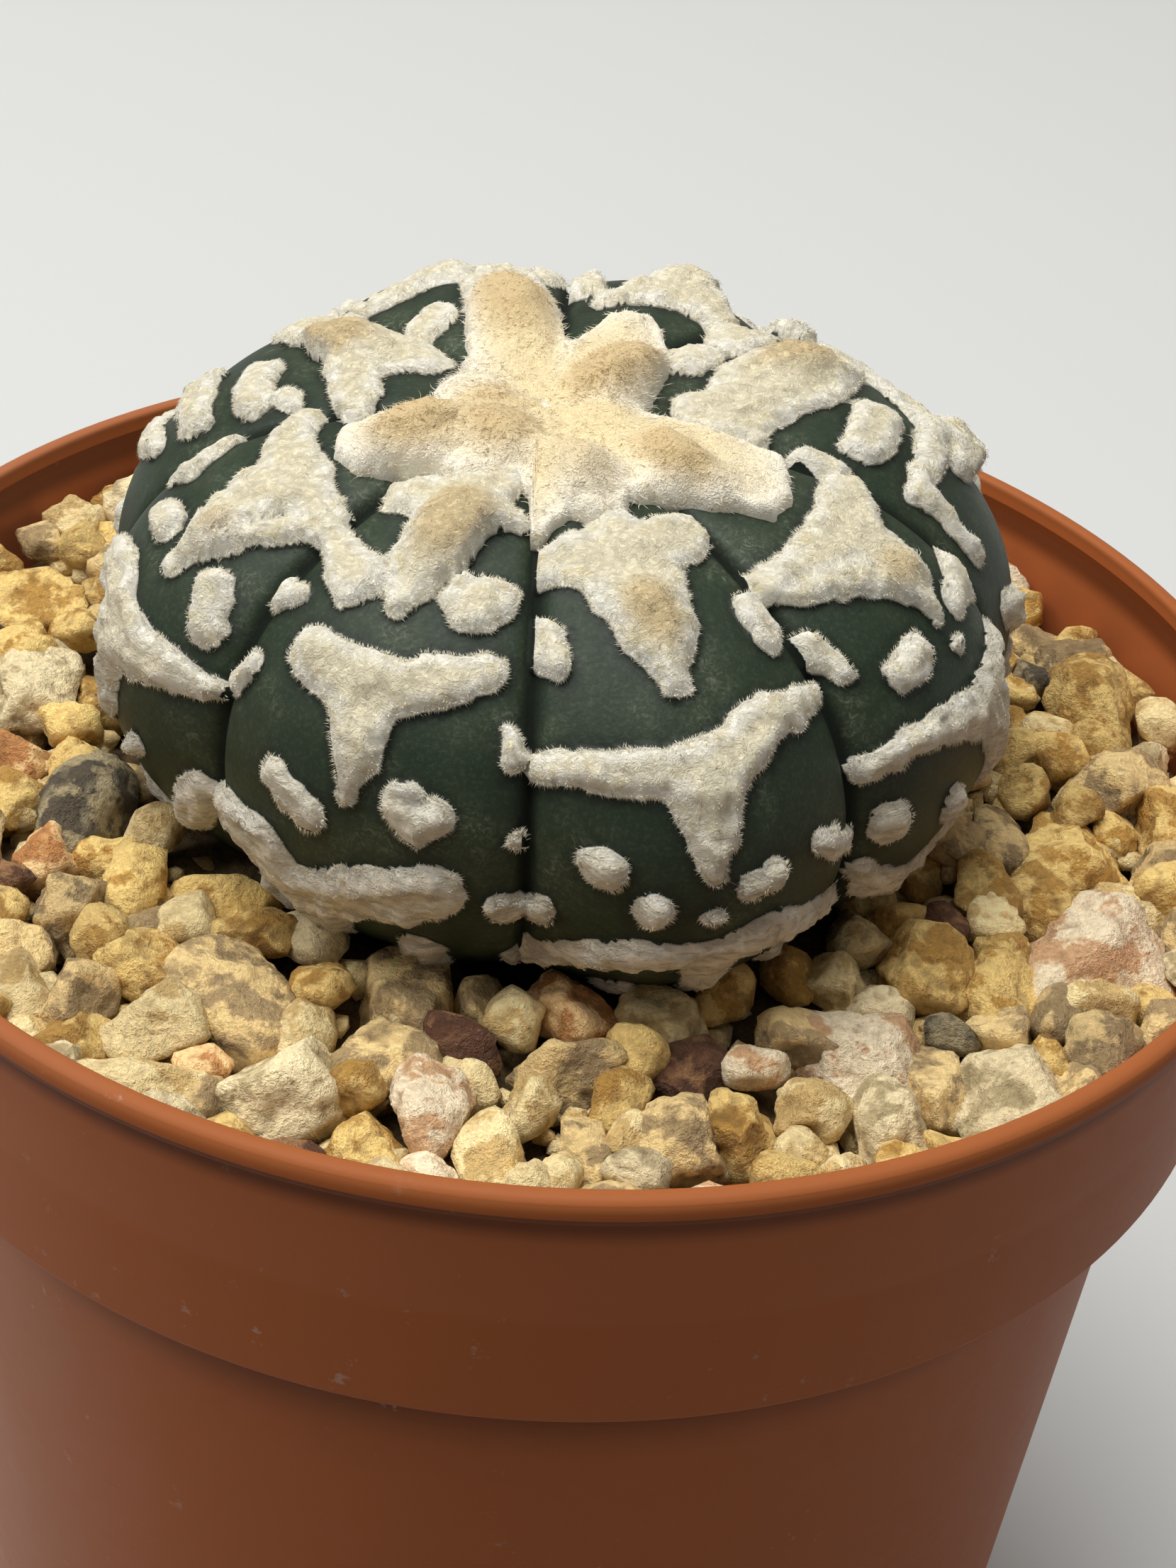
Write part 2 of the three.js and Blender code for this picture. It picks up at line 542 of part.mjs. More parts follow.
// The skin: an even sphere mapped on to the plant, its vertices drawn on to the grooves and the
// outlines of the felt, then raised where there is felt and lowered where the crown wool sits.
// The buried share of the body gets fewer of the sphere's rows than the share that shows.
function skinDown(height) {
  const turn = Math.acos(clamp(height, -1, 1)) / Math.PI;
  const shown = (turn / SHOWN_SHARE) * SHOWN_LENGTH;
  const buried = mix(SHOWN_LENGTH, 1, (turn - SHOWN_SHARE) / (1 - SHOWN_SHARE));
  return RIDGE_LENGTH * (turn < SHOWN_SHARE ? shown : buried);
}

function cactusBody() {
  const sphere = new THREE.IcosahedronGeometry(1, SKIN_DETAIL);
  sphere.deleteAttribute("normal");
  sphere.deleteAttribute("uv");
  const skin = mergeVertices(sphere, 1e-4);
  const place = new THREE.Vector3();
  for (let vertex = 0; vertex < skin.attributes.position.count; vertex += 1) {
    place.fromBufferAttribute(skin.attributes.position, vertex).normalize();
    const direction = Math.atan2(place.y, place.x);
    const { rib, across, halfWidth } = ribAt(direction);
    let down = skinDown(place.z);
    const half = Math.max(ridgeAt(down).reach * halfWidth, 1e-6);
    let aside = across * half;
    let felt = distanceToFelt(FLECKS[rib], aside, down);
    if (half - Math.abs(aside) < SNAP) {
      aside = Math.sign(aside) * half;
      felt = distanceToFelt(FLECKS[rib], aside, down);
    } else if (Math.abs(felt) < SNAP) {
      const step = 0.01;
      const slopeAside = (distanceToFelt(FLECKS[rib], aside + step, down) - felt) / step;
      const slopeDown = (distanceToFelt(FLECKS[rib], aside, down + step) - felt) / step;
      aside = clamp(aside - felt * slopeAside, -half, half);
      down -= felt * slopeDown;
      felt = 0;
    }
    const azimuth = azimuthOf(rib, aside / half);
    const underWool = clamp((seatEdge(azimuth) - down) / 0.3, 0, 1);
    const raised = (felt <= 0 ? FELT_LIFT : 0) + tuftHeight(rib, aside, down);
    const lift = mix(raised, -WOOL_SEAT, underWool);
    const point = skinPoint(azimuth, down, lift);
    skin.attributes.position.setXYZ(vertex, point.x, point.y, point.z);
  }
  return skin;
}

// The crown wool: a cushion in its seat with domed tufts and matted ripples. Its columns stand at
// the places of its edge.
function crownWool() {
  const sides = WOOL_EDGE.length;
  const cushion = new THREE.SphereGeometry(1, sides, WOOL_RINGS).rotateX(Math.PI / 2);
  cushion.deleteAttribute("normal");
  cushion.deleteAttribute("uv");
  const wool = mergeVertices(cushion, 1e-4);
  const place = new THREE.Vector3();
  for (let vertex = 0; vertex < wool.attributes.position.count; vertex += 1) {
    place.fromBufferAttribute(wool.attributes.position, vertex);
    const turn = Math.atan2(place.y, place.x) / (2 * Math.PI) + 0.5;
    const azimuth = radians(WOOL_EDGE[Math.round(turn * sides) % sides][0]);
    const down = Math.min(Math.hypot(place.x, place.y), 1) * woolEdge(azimuth);
    const { rib, across, halfWidth } = ribAt(azimuth);
    const aside = across * ridgeAt(down).reach * halfWidth;
    const ripple = 0.12 * Math.sin(1.9 * aside + 0.7 * down) * Math.sin(1.3 * down + rib);
    const crest = WOOL_THICKNESS + ripple + crownTuftHeight(azimuth, down);
    const seat = 1.2 * FIT_GAP - WOOL_SEAT;
    const lift = place.z > 0 ? mix(seat, crest, place.z ** 0.6) : seat;
    const point = skinPoint(azimuth, down, lift);
    wool.attributes.position.setXYZ(vertex, point.x, point.y, point.z);
  }
  return wool;
}

// The plant's own shape without felt, swollen a little, to leave it a plain hole in the grit.
function plantHole() {
  const sphere = new THREE.IcosahedronGeometry(1, HOLE_DETAIL);
  sphere.deleteAttribute("normal");
  sphere.deleteAttribute("uv");
  const hole = mergeVertices(sphere, 1e-4);
  const place = new THREE.Vector3();
  for (let vertex = 0; vertex < hole.attributes.position.count; vertex += 1) {
    place.fromBufferAttribute(hole.attributes.position, vertex).normalize();
    const down = (Math.acos(clamp(place.z, -1, 1)) / Math.PI) * RIDGE_LENGTH;
    const point = skinPoint(Math.atan2(place.y, place.x), down, PLANT_CLEARANCE);
    hole.attributes.position.setXYZ(vertex, point.x, point.y, point.z);
  }
  return toSolid(hole);
}

// A fleshy taproot with thinner side roots, each part thicker all round by extra.
function roots(extra) {
  const foot = ROOT_TOP - ROOT_LENGTH;
  const outline = [
    [0, foot - extra],
    [0.8 + extra, foot - extra],
    [0.45 * ROOT_RADIUS + extra, foot + 0.45 * ROOT_LENGTH],
    [0.85 * ROOT_RADIUS + extra, foot + 0.8 * ROOT_LENGTH],
    [ROOT_RADIUS + extra, ROOT_TOP - 1],
    [ROOT_RADIUS + extra, ROOT_TOP + extra],
    [0, ROOT_TOP + extra],
  ];
  let solid = toSolid(turned(outline, 12).translate(PLANT_X, PLANT_Y, 0));
  for (let root = 0; root < SIDE_ROOTS; root += 1) {
    const azimuth = (root / SIDE_ROOTS) * 2 * Math.PI + 0.4;
    const start = ROOT_TOP - 3.5 - 2.2 * root;
    const far = new THREE.Vector3(Math.cos(azimuth), Math.sin(azimuth), 0);
    const line = new THREE.CatmullRomCurve3([
      new THREE.Vector3(PLANT_X, PLANT_Y, start + 1).addScaledVector(far, 1),
      new THREE.Vector3(PLANT_X, PLANT_Y, start - 1).addScaledVector(far, 9),
      new THREE.Vector3(PLANT_X, PLANT_Y, start - 9).addScaledVector(far, 16 + extra),
    ]);
    const section = new THREE.Shape().absarc(0, 0, 0.7 + extra, 0, 2 * Math.PI);
    const options = { steps: 4, extrudePath: line, curveSegments: 2, bevelEnabled: false };
    solid = solid.add(toSolid(new THREE.ExtrudeGeometry(section, options)));
  }
  return solid;
}

function pottingMix() {
  const wall = WALL + FIT_GAP;
  const outline = [
    [0, FLOOR_TOP + FIT_GAP],
    [FOOT_RADIUS - wall, FLOOR_TOP + FIT_GAP],
    [SHOULDER_RADIUS - wall, SHOULDER_Z + wall],
    [COLLAR_FOOT_RADIUS - wall, SHOULDER_Z + wall],
    [COLLAR_FOOT_RADIUS - wall, MIX_TOP],
    [0, MIX_TOP],
  ];
  const fill = toSolid(turned(outline, 30));
  return toGeometry(largestBody(fill.subtract(roots(FIT_GAP))));
}

// Places the known stones first, then throws seeded ones into the gaps that are left. Each gets
// a height over the bed and a tilt of its upper face.
function placeStones() {
  const random = seededRandom(STONE_SEED);
  const stones = KNOWN_STONES.map(([x, y, size]) => ({ x, y, size }));
  for (let tries = 0; tries < STONE_TRIES; tries += 1) {
    const size = mix(SMALL_STONE, LARGE_STONE, random() ** 2 * (1 - tries / STONE_TRIES));
    const azimuth = 2 * Math.PI * random();
    const radius = mix(GRIT_INNER_RADIUS, GRIT_RADIUS, Math.sqrt(random()));
    const x = radius * Math.cos(azimuth);
    const y = radius * Math.sin(azimuth);
    const spacing = (stone) => STONE_PACKING * (stone.size + size);
    const free = stones.every((stone) => Math.hypot(stone.x - x, stone.y - y) > spacing(stone));
    if (free) stones.push({ x, y, size });
  }
  for (const stone of stones) {
    stone.rise = mix(-0.3, 0.8, random()) + 0.25 * (stone.size - SMALL_STONE);
    stone.tiltX = mix(-STONE_TILT, STONE_TILT, random());
    stone.tiltY = mix(-STONE_TILT, STONE_TILT, random());
  }
  return stones;
}

// The stone that a place belongs to, its distance to the crack round that stone, and the way
// to the crack. The cracks are straight, and lie nearer to the smaller of two stones.
function crackAt(stones, x, y) {
  const power = ({ x: stoneX, y: stoneY, size }) => (x - stoneX) ** 2 + (y - stoneY) ** 2 - size ** 2;
  const own = stones.reduce((best, stone) => (power(stone) < power(best) ? stone : best));
  let crack = { own, distance: Infinity, wayX: 0, wayY: 0 };
  for (const other of stones) {
    if (other === own) continue;
    const apart = Math.hypot(other.x - own.x, other.y - own.y);
    const distance = (power(other) - power(own)) / (2 * apart);
    if (distance >= crack.distance) continue;
    crack = { own, distance, wayX: (other.x - own.x) / apart, wayY: (other.y - own.y) / apart };
  }
  return crack;
}

// The grit is a turned bed whose top rises into angular stones with deep cracks between them.
function gritTopDressing() {
  const profile = [[0, GRIT_BASE], [GRIT_RADIUS, GRIT_BASE], [GRIT_RADIUS, GRIT_LEVEL]];
  for (let ring = 1; ring <= GRIT_RINGS; ring += 1) {
    profile.push([mix(GRIT_RADIUS, GRIT_INNER_RADIUS, ring / GRIT_RINGS), GRIT_LEVEL]);
  }
  profile.push([0, GRIT_LEVEL]);
  const bare = turned(profile, GRIT_SIDES);
  bare.deleteAttribute("normal");
  bare.deleteAttribute("uv");
  const bed = mergeVertices(bare, 1e-4);
  const stones = placeStones();
  const place = new THREE.Vector3();
  for (let vertex = 0; vertex < bed.attributes.position.count; vertex += 1) {
    place.fromBufferAttribute(bed.attributes.position, vertex);
    const radius = Math.hypot(place.x, place.y);
    if (place.z < GRIT_LEVEL - 0.01 || radius < 1) continue;
    const { own, distance, wayX, wayY } = crackAt(stones, place.x, place.y);
    const atCrack = distance < CRACK_SNAP && radius < GRIT_RADIUS - 0.1;
    if (atCrack) {
      place.x += distance * wayX;
      place.y += distance * wayY;
    }
    const level = GRIT_LEVEL + GRIT_SLOPE * place.x;
    const face = own.rise + own.tiltX * (place.x - own.x) + own.tiltY * (place.y - own.y);
    const share = atCrack ? 0 : Math.min(distance / STONE_BEVEL, 1) ** 0.6;
    const edge = radius > GRIT_RADIUS - 0.1 ? 0.5 : 1;
    place.z = level + edge * mix(-CRACK_DEPTH, face, share);
    bed.attributes.position.setXYZ(vertex, place.x, place.y, place.z);
  }
  return toGeometry(largestBody(toSolid(bed).subtract(plantHole()).subtract(roots(FIT_GAP))));
}

function node(name, geometry, colour, roughness) {
  geometry.computeVertexNormals();
  const material = new THREE.MeshStandardMaterial({ color: colour, roughness, metalness: 0 });
  const mesh = new THREE.Mesh(geometry, material);
  mesh.name = name;
  return mesh;
}

const potted = new THREE.Group();
potted.add(
  node("pot", pot(), TERRACOTTA, 0.55),
  node("potting_mix", pottingMix(), DARK_MIX, 0.95),
  node("grit_top_dressing", gritTopDressing(), GRIT_TAN, 0.8),
  node("cactus_body", cactusBody(), SKIN_GREEN, 0.75),
  node("crown_wool", crownWool(), WOOL_CREAM, 0.95),
  node("taproot", toGeometry(roots(0)), ROOT_TAN, 0.9),
);

export default potted;
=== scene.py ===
"""A star cactus of the V type in a grit-dressed plastic pot, modelled for its looks."""
import logging
import math
from dataclasses import dataclass, field
from enum import Enum
from functools import partial
from typing import Callable, Iterator, Sequence

import bmesh
import bpy
import numpy as np
from mathutils import Matrix, Vector


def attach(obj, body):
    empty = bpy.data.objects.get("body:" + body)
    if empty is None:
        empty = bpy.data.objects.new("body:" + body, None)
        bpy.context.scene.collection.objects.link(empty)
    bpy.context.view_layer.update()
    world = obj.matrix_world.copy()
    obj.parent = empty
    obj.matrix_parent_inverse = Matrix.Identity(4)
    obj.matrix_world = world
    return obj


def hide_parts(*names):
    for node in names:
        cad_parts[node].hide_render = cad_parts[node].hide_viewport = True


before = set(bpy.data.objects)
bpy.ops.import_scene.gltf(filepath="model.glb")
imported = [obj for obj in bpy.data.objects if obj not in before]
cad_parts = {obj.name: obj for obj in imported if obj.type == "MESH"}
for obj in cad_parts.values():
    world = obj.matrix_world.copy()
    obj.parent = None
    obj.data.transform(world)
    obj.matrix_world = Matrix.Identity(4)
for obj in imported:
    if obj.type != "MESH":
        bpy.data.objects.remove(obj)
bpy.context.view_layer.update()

log = logging.getLogger("potted_cactus")

MM = 0.001
FULL_TURN = 2 * math.pi
Array = np.ndarray
Colour = tuple[float, float, float, float]
Run = Sequence[Sequence[float]]

# Sizes of the pot and its filling, in millimetres, the same as the frame's
POT_HEIGHT = 68.0
RIM_RADIUS = 37.5
WALL = 1.1
COLLAR_FOOT_RADIUS = 36.4
SHOULDER_RADIUS = 33.8
FOOT_RADIUS = 30.8
SHOULDER_Z = 53.9
FLOOR_TOP = 3.0
GRIT_BASE = 56.5
GRIT_LEVEL = 64.2
GRIT_SLOPE = -0.022


@dataclass(frozen=True)
class Rib:
    """One rib of the plant.

    Args:
        groove: where it starts round the crown, in degrees.
        swell: how much further it reaches than the mean.
        shoulder: how much higher its shoulder stands than the mean, in millimetres.
    """

    groove: float
    swell: float
    shoulder: float


RIBS = (
    Rib(-88, 0.02, 0.0), Rib(-47, -0.03, 0.0), Rib(-6, 0.06, 1.4), Rib(54, 0.08, 2.1),
    Rib(88, 0.07, 1.6), Rib(133, -0.08, 0.5), Rib(184, -0.1, 0.0), Rib(228, -0.09, 0.0),
)

# The edge of the crown wool: azimuth in degrees, and millimetres down from the crown.
WOOL_EDGE = (
    (-92, 8.1), (-90, 11.6), (-85, 10.4), (-80, 9.6), (-72, 9.8), (-65, 9.8), (-60, 8.9), (-53, 9.2),
    (-45, 9.9), (-37, 11.4), (-31, 13.3), (-23, 13.3), (-10, 12.3), (-6, 9.8), (-2, 7.0), (6, 5.3),
    (20, 5.4), (32, 6.6), (48, 9.0), (58, 10.8), (66, 11.8), (74, 10.6), (79, 7.2), (84, 7.4),
    (90, 10.4), (98, 12.4), (108, 12.4), (115, 10.4), (126, 7.1), (140, 5.8), (162, 5.6), (180, 6.0),
    (191, 6.8), (197, 8.8), (200, 10.8), (208, 11.4), (216, 11.3), (222, 10.7), (227, 9.7), (234, 8.9),
    (244, 8.5), (256, 7.8), (264, 7.8),
)

# Felt flecks of each rib. A run is a list of [across the rib, down from the crown, half width]
# in millimetres. Runs that touch grow together into the V shaped stars.
FLECKS = [
    [
        [[-4.5, 13.1, 1.3], [-2, 12.2, 1.8], [0, 12, 2.3], [2.5, 11.9, 1.7], [4.3, 11.6, 1.2]],
        [[-0.5, 10.4, 1.4], [-0.5, 13.5, 2.7], [-0.6, 16.6, 2.1], [-0.5, 19.4, 0.8]],
        [[-5.3, 16.8, 0.9], [-5.8, 18.8, 1]], [[4.6, 16.6, 1], [5.2, 18.5, 1]],
        [[-8, 24.2, 0.8], [-5, 23.6, 1.1], [0, 23.4, 1.7], [3.4, 21.9, 1.4], [7, 22, 0.8]],
        [[-0.4, 24.5, 2.0], [-0.4, 26.5, 1.3], [-0.5, 28.2, 0.6]], [[-5.2, 28.3, 1.2]], [[-3, 30.1, 1.1]],
        [[-0.4, 30.4, 0.7]], [[1.2, 29.1, 0.9], [2.4, 28.8, 1]], [[5.4, 28.4, 0.8], [8, 29.9, 0.9]],
        [[-7.6, 36, 1.2], [-5.5, 34.2, 1.1], [-3.5, 33, 1.1],
         [0, 33, 1.2], [3, 32.2, 1.3], [8.5, 34.2, 0.8]], [[0, 34, 1.3], [0.4, 38, 1]], [[-8, 31.8, 1.1]],
        [[-3.2, 38.6, 1.1]], [[4.4, 36.8, 1.1]],
    ],
    [
        [[-5.2, 15.8, 1.2], [-2.5, 15.9, 1.4], [1.3, 16.1, 2.3], [4.2, 15.6, 1.8], [5.6, 15.4, 1.4]],
        [[1.3, 17.5, 2.3], [1.9, 20, 1.6], [1.5, 22.2, 0.6]],
        [[-4.2, 16.9, 1], [-1.2, 17.8, 1.3], [1, 19.4, 1]], [[-6.2, 19.9, 1.1], [-6, 21.3, 1]],
        [[-3.2, 22.8, 1.1], [-1.3, 22.6, 1.3]], [[1.8, 23.9, 0.7]], [[3.7, 22.3, 1], [6.2, 22.2, 1.5]],
        [[-7.8, 26.4, 0.8], [-5, 26, 0.9], [-2, 26.3, 1.1], [1.5, 27.3, 1.6], [6.3, 25.8, 1]],
        [[3.5, 28, 2], [4.2, 31, 1.2], [4.4, 33, 0.7]], [[-6.7, 29.8, 1.3]], [[-1.5, 31, 1.2]],
        [[-7.8, 32.4, 0.8], [-6, 34.5, 1.3], [-3, 36, 1.2], [1, 36.4, 1.2], [6.5, 35.6, 0.9]],
        [[1, 36.6, 1.3], [1.2, 39.4, 0.8]],
    ],
    [
        [[-5.8, 12.6, 0.7], [-7.2, 14.6, 1.2]],
        [[-1.4, 7.6, 1.6], [-2.4, 9.4, 2.4], [-0.2, 11.3, 2.6],
         [0.6, 13.6, 2.6], [2.4, 16.2, 2.0], [4.4, 18.6, 1.4]], [[-3.6, 9.6, 1.5], [-4.8, 10.4, 0.9]],
        [[2.7, 8.7, 0.9], [4.2, 10.3, 1.2]], [[6.2, 14.4, 1.7], [4.4, 12.6, 1.2]], [[7.2, 18.2, 1.4]],
        [[-4.7, 16.0, 1.5], [-2.4, 16.8, 1.6]],
        [[5.2, 19.6, 1.2], [2.0, 20.2, 1.2], [-1.6, 20.3, 1.1], [-5.0, 19.4, 1.0], [-7.6, 19.0, 0.8]],
        [[-7.4, 19.2, 0.8], [-8.4, 21.8, 0.7], [-9.2, 23.8, 0.5]], [[-0.8, 22.4, 1.7], [-3.0, 22.0, 1.0]],
        [[0.5, 25.8, 1.0], [3.6, 25.2, 1.6], [7.6, 23.8, 1.0]], [[4, 25.6, 1.8], [4.4, 29.4, 0.8]],
        [[-9, 27.6, 1.2], [-5.5, 29.8, 1.3]],
    ],
    [
        [[1.6, 12.4, 0.9], [0.0, 14.4, 1.7], [-2.8, 15.6, 1.8], [-5.6, 15.0, 1.6]],
        [[-1.0, 16.4, 2.0], [-1.2, 20.2, 1.0]], [[2.9, 13.8, 0.9], [4.4, 16.4, 1.4]], [[-6.8, 18.6, 1.3]],
    ],
    [
        [[-1.4, 8.5, 2.7], [-1.8, 11, 2.6], [-2.2, 13.4, 2.2], [-2.8, 15.8, 1.6], [-3, 16.8, 1.0]],
        [[2.4, 11.3, 1.4], [3.8, 10.4, 1.4]],
        [[6.0, 16.4, 1.0], [4.4, 16.0, 1.2], [2.2, 15.5, 1.3], [0.4, 16.0, 1.4], [-0.6, 17.6, 1.2]],
        [[-5.4, 17.2, 1.2], [-4.8, 15.2, 0.5]],
    ],
    [
        [[-1.8, 7.4, 1.3], [-1.8, 9.4, 2.3], [-2.4, 11.8, 2.7], [-4, 14.8, 2.2], [-4.6, 17.5, 1.4]],
        [[0.8, 10.2, 1.9], [3.2, 9.7, 1.5]], [[-3.8, 9.6, 0.9]], [[1.2, 15.9, 1.4], [4.6, 15.7, 1.3]],
        [[0.5, 20.6, 1.6], [5.2, 19.4, 1.4]], [[3.8, 13.4, 1.2]],
    ],
    [
        [[-3.0, 9.4, 0.9]],
        [[-4.4, 12.4, 1.2], [-2, 13.2, 1.7], [0.5, 13.6, 2.1], [4.4, 14.4, 1.4], [5.6, 15.2, 0.9]],
        [[0.8, 15.5, 2.3], [1.3, 19, 1.6], [1.5, 21.8, 0.8]],
        [[4.6, 15.4, 1.2], [3.4, 17.6, 0.9], [2.6, 19.8, 0.6]],
        [[-5.9, 16.9, 0.9], [-4.8, 18.9, 0.9], [-6, 20.5, 0.6]], [[-2.7, 20.9, 1.1], [-1.6, 20.8, 1.2]],
        [[4.4, 21.0, 1.1], [6.2, 23.4, 1.2]], [[8.2, 20.0, 0.9]],
        [[-6, 25.8, 1.3], [-2.5, 24.8, 1.7], [0, 26.2, 2.0],
         [3, 26.5, 1.6], [6, 26, 1.2], [8.6, 25.9, 0.7]], [[0, 27.5, 2.0], [-0.5, 31, 1.2]],
        [[3, 31.8, 0.9]], [[8.2, 32, 1.3], [6, 35, 1.2]], [[-6.4, 31.6, 1.1]],
        [[-6, 36.4, 1], [-2, 37.4, 1.2], [2.4, 37.8, 1]],
    ],
    [
        [[-5.8, 15.0, 1.2], [-3, 16.5, 1.9]], [[0.8, 7, 1.4], [0, 11, 2.3], [0, 14, 2], [0, 17.3, 0.8]],
        [[0, 9.8, 2.1], [-3.4, 10.8, 1.3]], [[2, 10, 1.2], [3.2, 10.3, 0.5]], [[3.4, 15.9, 1.9]],
        [[-5.8, 18.9, 0.9], [-7.2, 19.4, 1.1]],
        [[-3.4, 21.2, 1.6], [-1.0, 21.9, 1.9], [1.2, 21.8, 1.6], [3, 20.7, 1.7], [4.9, 19.8, 1.3]],
        [[0.1, 22, 2.2], [0.4, 25.3, 1.3], [0.2, 27.2, 0.7]], [[-3.9, 27.8, 1], [-2, 28.8, 1.1]],
        [[3.2, 26.9, 1.3], [3.7, 27.5, 1.2], [4.8, 27, 1]], [[-6.9, 23, 0.6], [-8.2, 24.8, 0.8]],
        [[7, 22.2, 0.6], [7.8, 23.8, 0.8]], [[8.9, 28, 0.6]], [[8.4, 31.9, 1.2]],
        [[-8.5, 32.5, 1.9], [-5.2, 32.5, 2.1], [-2.9, 34, 1.7], [0.6, 33, 1.9], [5, 31.1, 1.7]],
        [[-2, 34, 1.8], [-1.8, 38, 1.3]], [[-6.2, 37.0, 0.8], [-4.8, 38.2, 0.8]],
        [[3.5, 36.6, 1.3], [3.2, 39, 1.2]], [[8, 37.5, 0.8]],
    ],
]

# Wool tufts on the areoles: rib, across, down, radius across, radius down, height over the felt,
# and how tan they are.
AREOLES = [
    [7, 0.6, 12.0, 1.9, 3.0, 1.1, 1.0], [0, -0.6, 16.0, 1.4, 2.1, 0.6, 0.9],
    [1, 1.2, 19.0, 1.5, 1.3, 0.4, 0.7], [2, 1.5, 13.6, 1.5, 2.4, 1.1, 0.9],
    [3, -1.8, 17.6, 2.4, 1.7, 0.8, 0.25], [2, 7.0, 17.9, 1.6, 1.6, 0.7, 0.0],
    [5, -1.2, 12.6, 2.1, 2.6, 1.1, 1.0], [6, 2.0, 18.6, 1.2, 1.5, 0.6, 0.6],
    [2, -0.8, 22.6, 2.1, 2.0, 1.0, 0.1],
]

# Tufts that stand on the crown wool itself: azimuth in degrees, down, radius across, radius
# along, height, and how tan they are.
CROWN_TUFTS = [
    [42, 4.6, 1.9, 3.0, 1.7, 1.0], [103, 9.0, 2.1, 3.0, 1.7, 1.0], [218, 7.6, 2.0, 2.5, 1.5, 0.9],
    [243, 4.6, 2.3, 2.1, 1.4, 0.9], [195, 2.6, 1.8, 2.0, 0.6, 0.6], [-36, 7.8, 1.5, 2.3, 1.3, 1.0],
    [-75, 6.5, 1.6, 2.0, 1.3, 0.45], [130, 4.0, 1.8, 2.0, 0.4, 0.2], [-20, 3.0, 1.4, 1.6, 0.5, 0.3],
]

# Ribs whose lower half the seeded rule fills with stars and dots, and where it starts; and how
# far down its stars go and how far apart they stand.
RULED_RIBS = {2: 33.0, 3: 23.0, 4: 23.0, 5: 26.0}
RULED_END = 40.0
RULED_STEP = 8.8
FLECK_SEED = 41

# Stands for the felt distance, or the groove distance, of a place that has none near it
FAR = 9.0
# Small steps along the skin for its directions: round in radians, and down in millimetres
TURN_STEP = 0.002
DOWN_STEP = 0.05


def linear(hex_code: str) -> Colour:
    """Turns an sRGB hex value into linear red, green and blue, with an alpha of one.

    Args:
        hex_code: a hash sign and six hex digits.

    Returns:
        The four values.
    """
    parts = [int(hex_code[i : i + 2], 16) / 255 for i in (1, 3, 5)]
    curved = [p / 12.92 if p <= 0.04045 else ((p + 0.055) / 1.055) ** 2.4 for p in parts]
    return (curved[0], curved[1], curved[2], 1.0)


def seeded(seed: int) -> Iterator[float]:
    """Yields evenly spread numbers from 0 to 1 by the linear rule that also placed the solids.

    Args:
        seed: where the rule starts.

    Returns:
        The endless numbers.
    """
    state = seed
    while True:
        state = (state * 1664525 + 1013904223) % 4294967296
        yield state / 4294967296


def unit(vectors: Array) -> Array:
    """Each vector divided by its own length."""
    return vectors / np.maximum(np.linalg.norm(vectors, axis=-1, keepdims=True), 1e-12)


def turns(count: int) -> Array:
    """Evenly spaced directions round a circle, in radians."""
    return np.arange(count) / count * FULL_TURN


def turned(first: Array, second: Array, angle: Array) -> tuple[Array, Array]:
    """Turns pairs by an angle: (a cos t - b sin t, a sin t + b cos t)."""
    cosine, sine = np.cos(angle), np.sin(angle)
    return first * cosine - second * sine, first * sine + second * cosine


def value_noise(points: Array, cell: float, seed: int) -> Array:
    """Smooth random values from -1 to 1.

    Each lattice corner gets a value hashed from its three numbers and the seed, and a point
    blends its eight corners with weights 3t^2 - 2t^3.

    Args:
        points: (n, 3) places in millimetres.
        cell: lattice spacing in millimetres.
        seed: picks another pattern.

    Returns:
        (n,) values.
    """
    scaled = points / cell
    base = np.floor(scaled).astype(np.int64)
    part = scaled - base
    part = part * part * (3 - 2 * part)
    total = np.zeros(len(points))
    for corner in np.ndindex(2, 2, 2):
        x, y, z = (base + corner).T
        mixed = (x * 73856093) ^ (y * 19349663) ^ (z * 83492791) ^ (seed * 265443576)
        mixed = ((mixed ^ (mixed >> 13)) & 0xFFFFFFF) * 1274126177
        mixed = (mixed ^ (mixed >> 16)) & 0xFFFF
        weight = np.prod(np.where(np.array(corner) == 1, part, 1 - part), axis=1)
        total += weight * (mixed / 32767.5 - 1)
    return total


def layered_noise(points: Array, *layers: tuple[float, float, int]) -> Array:
    """A sum of value noises, each with a height, a cell size in millimetres and a seed."""
    return sum(height * value_noise(points, cell, seed) for height, cell, seed in layers)


def fractal_noise(points: Array, cell: float, octaves: int, seed: int) -> Array:
    """A sum of value noises, each half as coarse and half as strong as the one before."""
    layers = [value_noise(points, cell / 2**k, seed + k) / 2**k for k in range(octaves)]
    return np.sum(layers, axis=0)


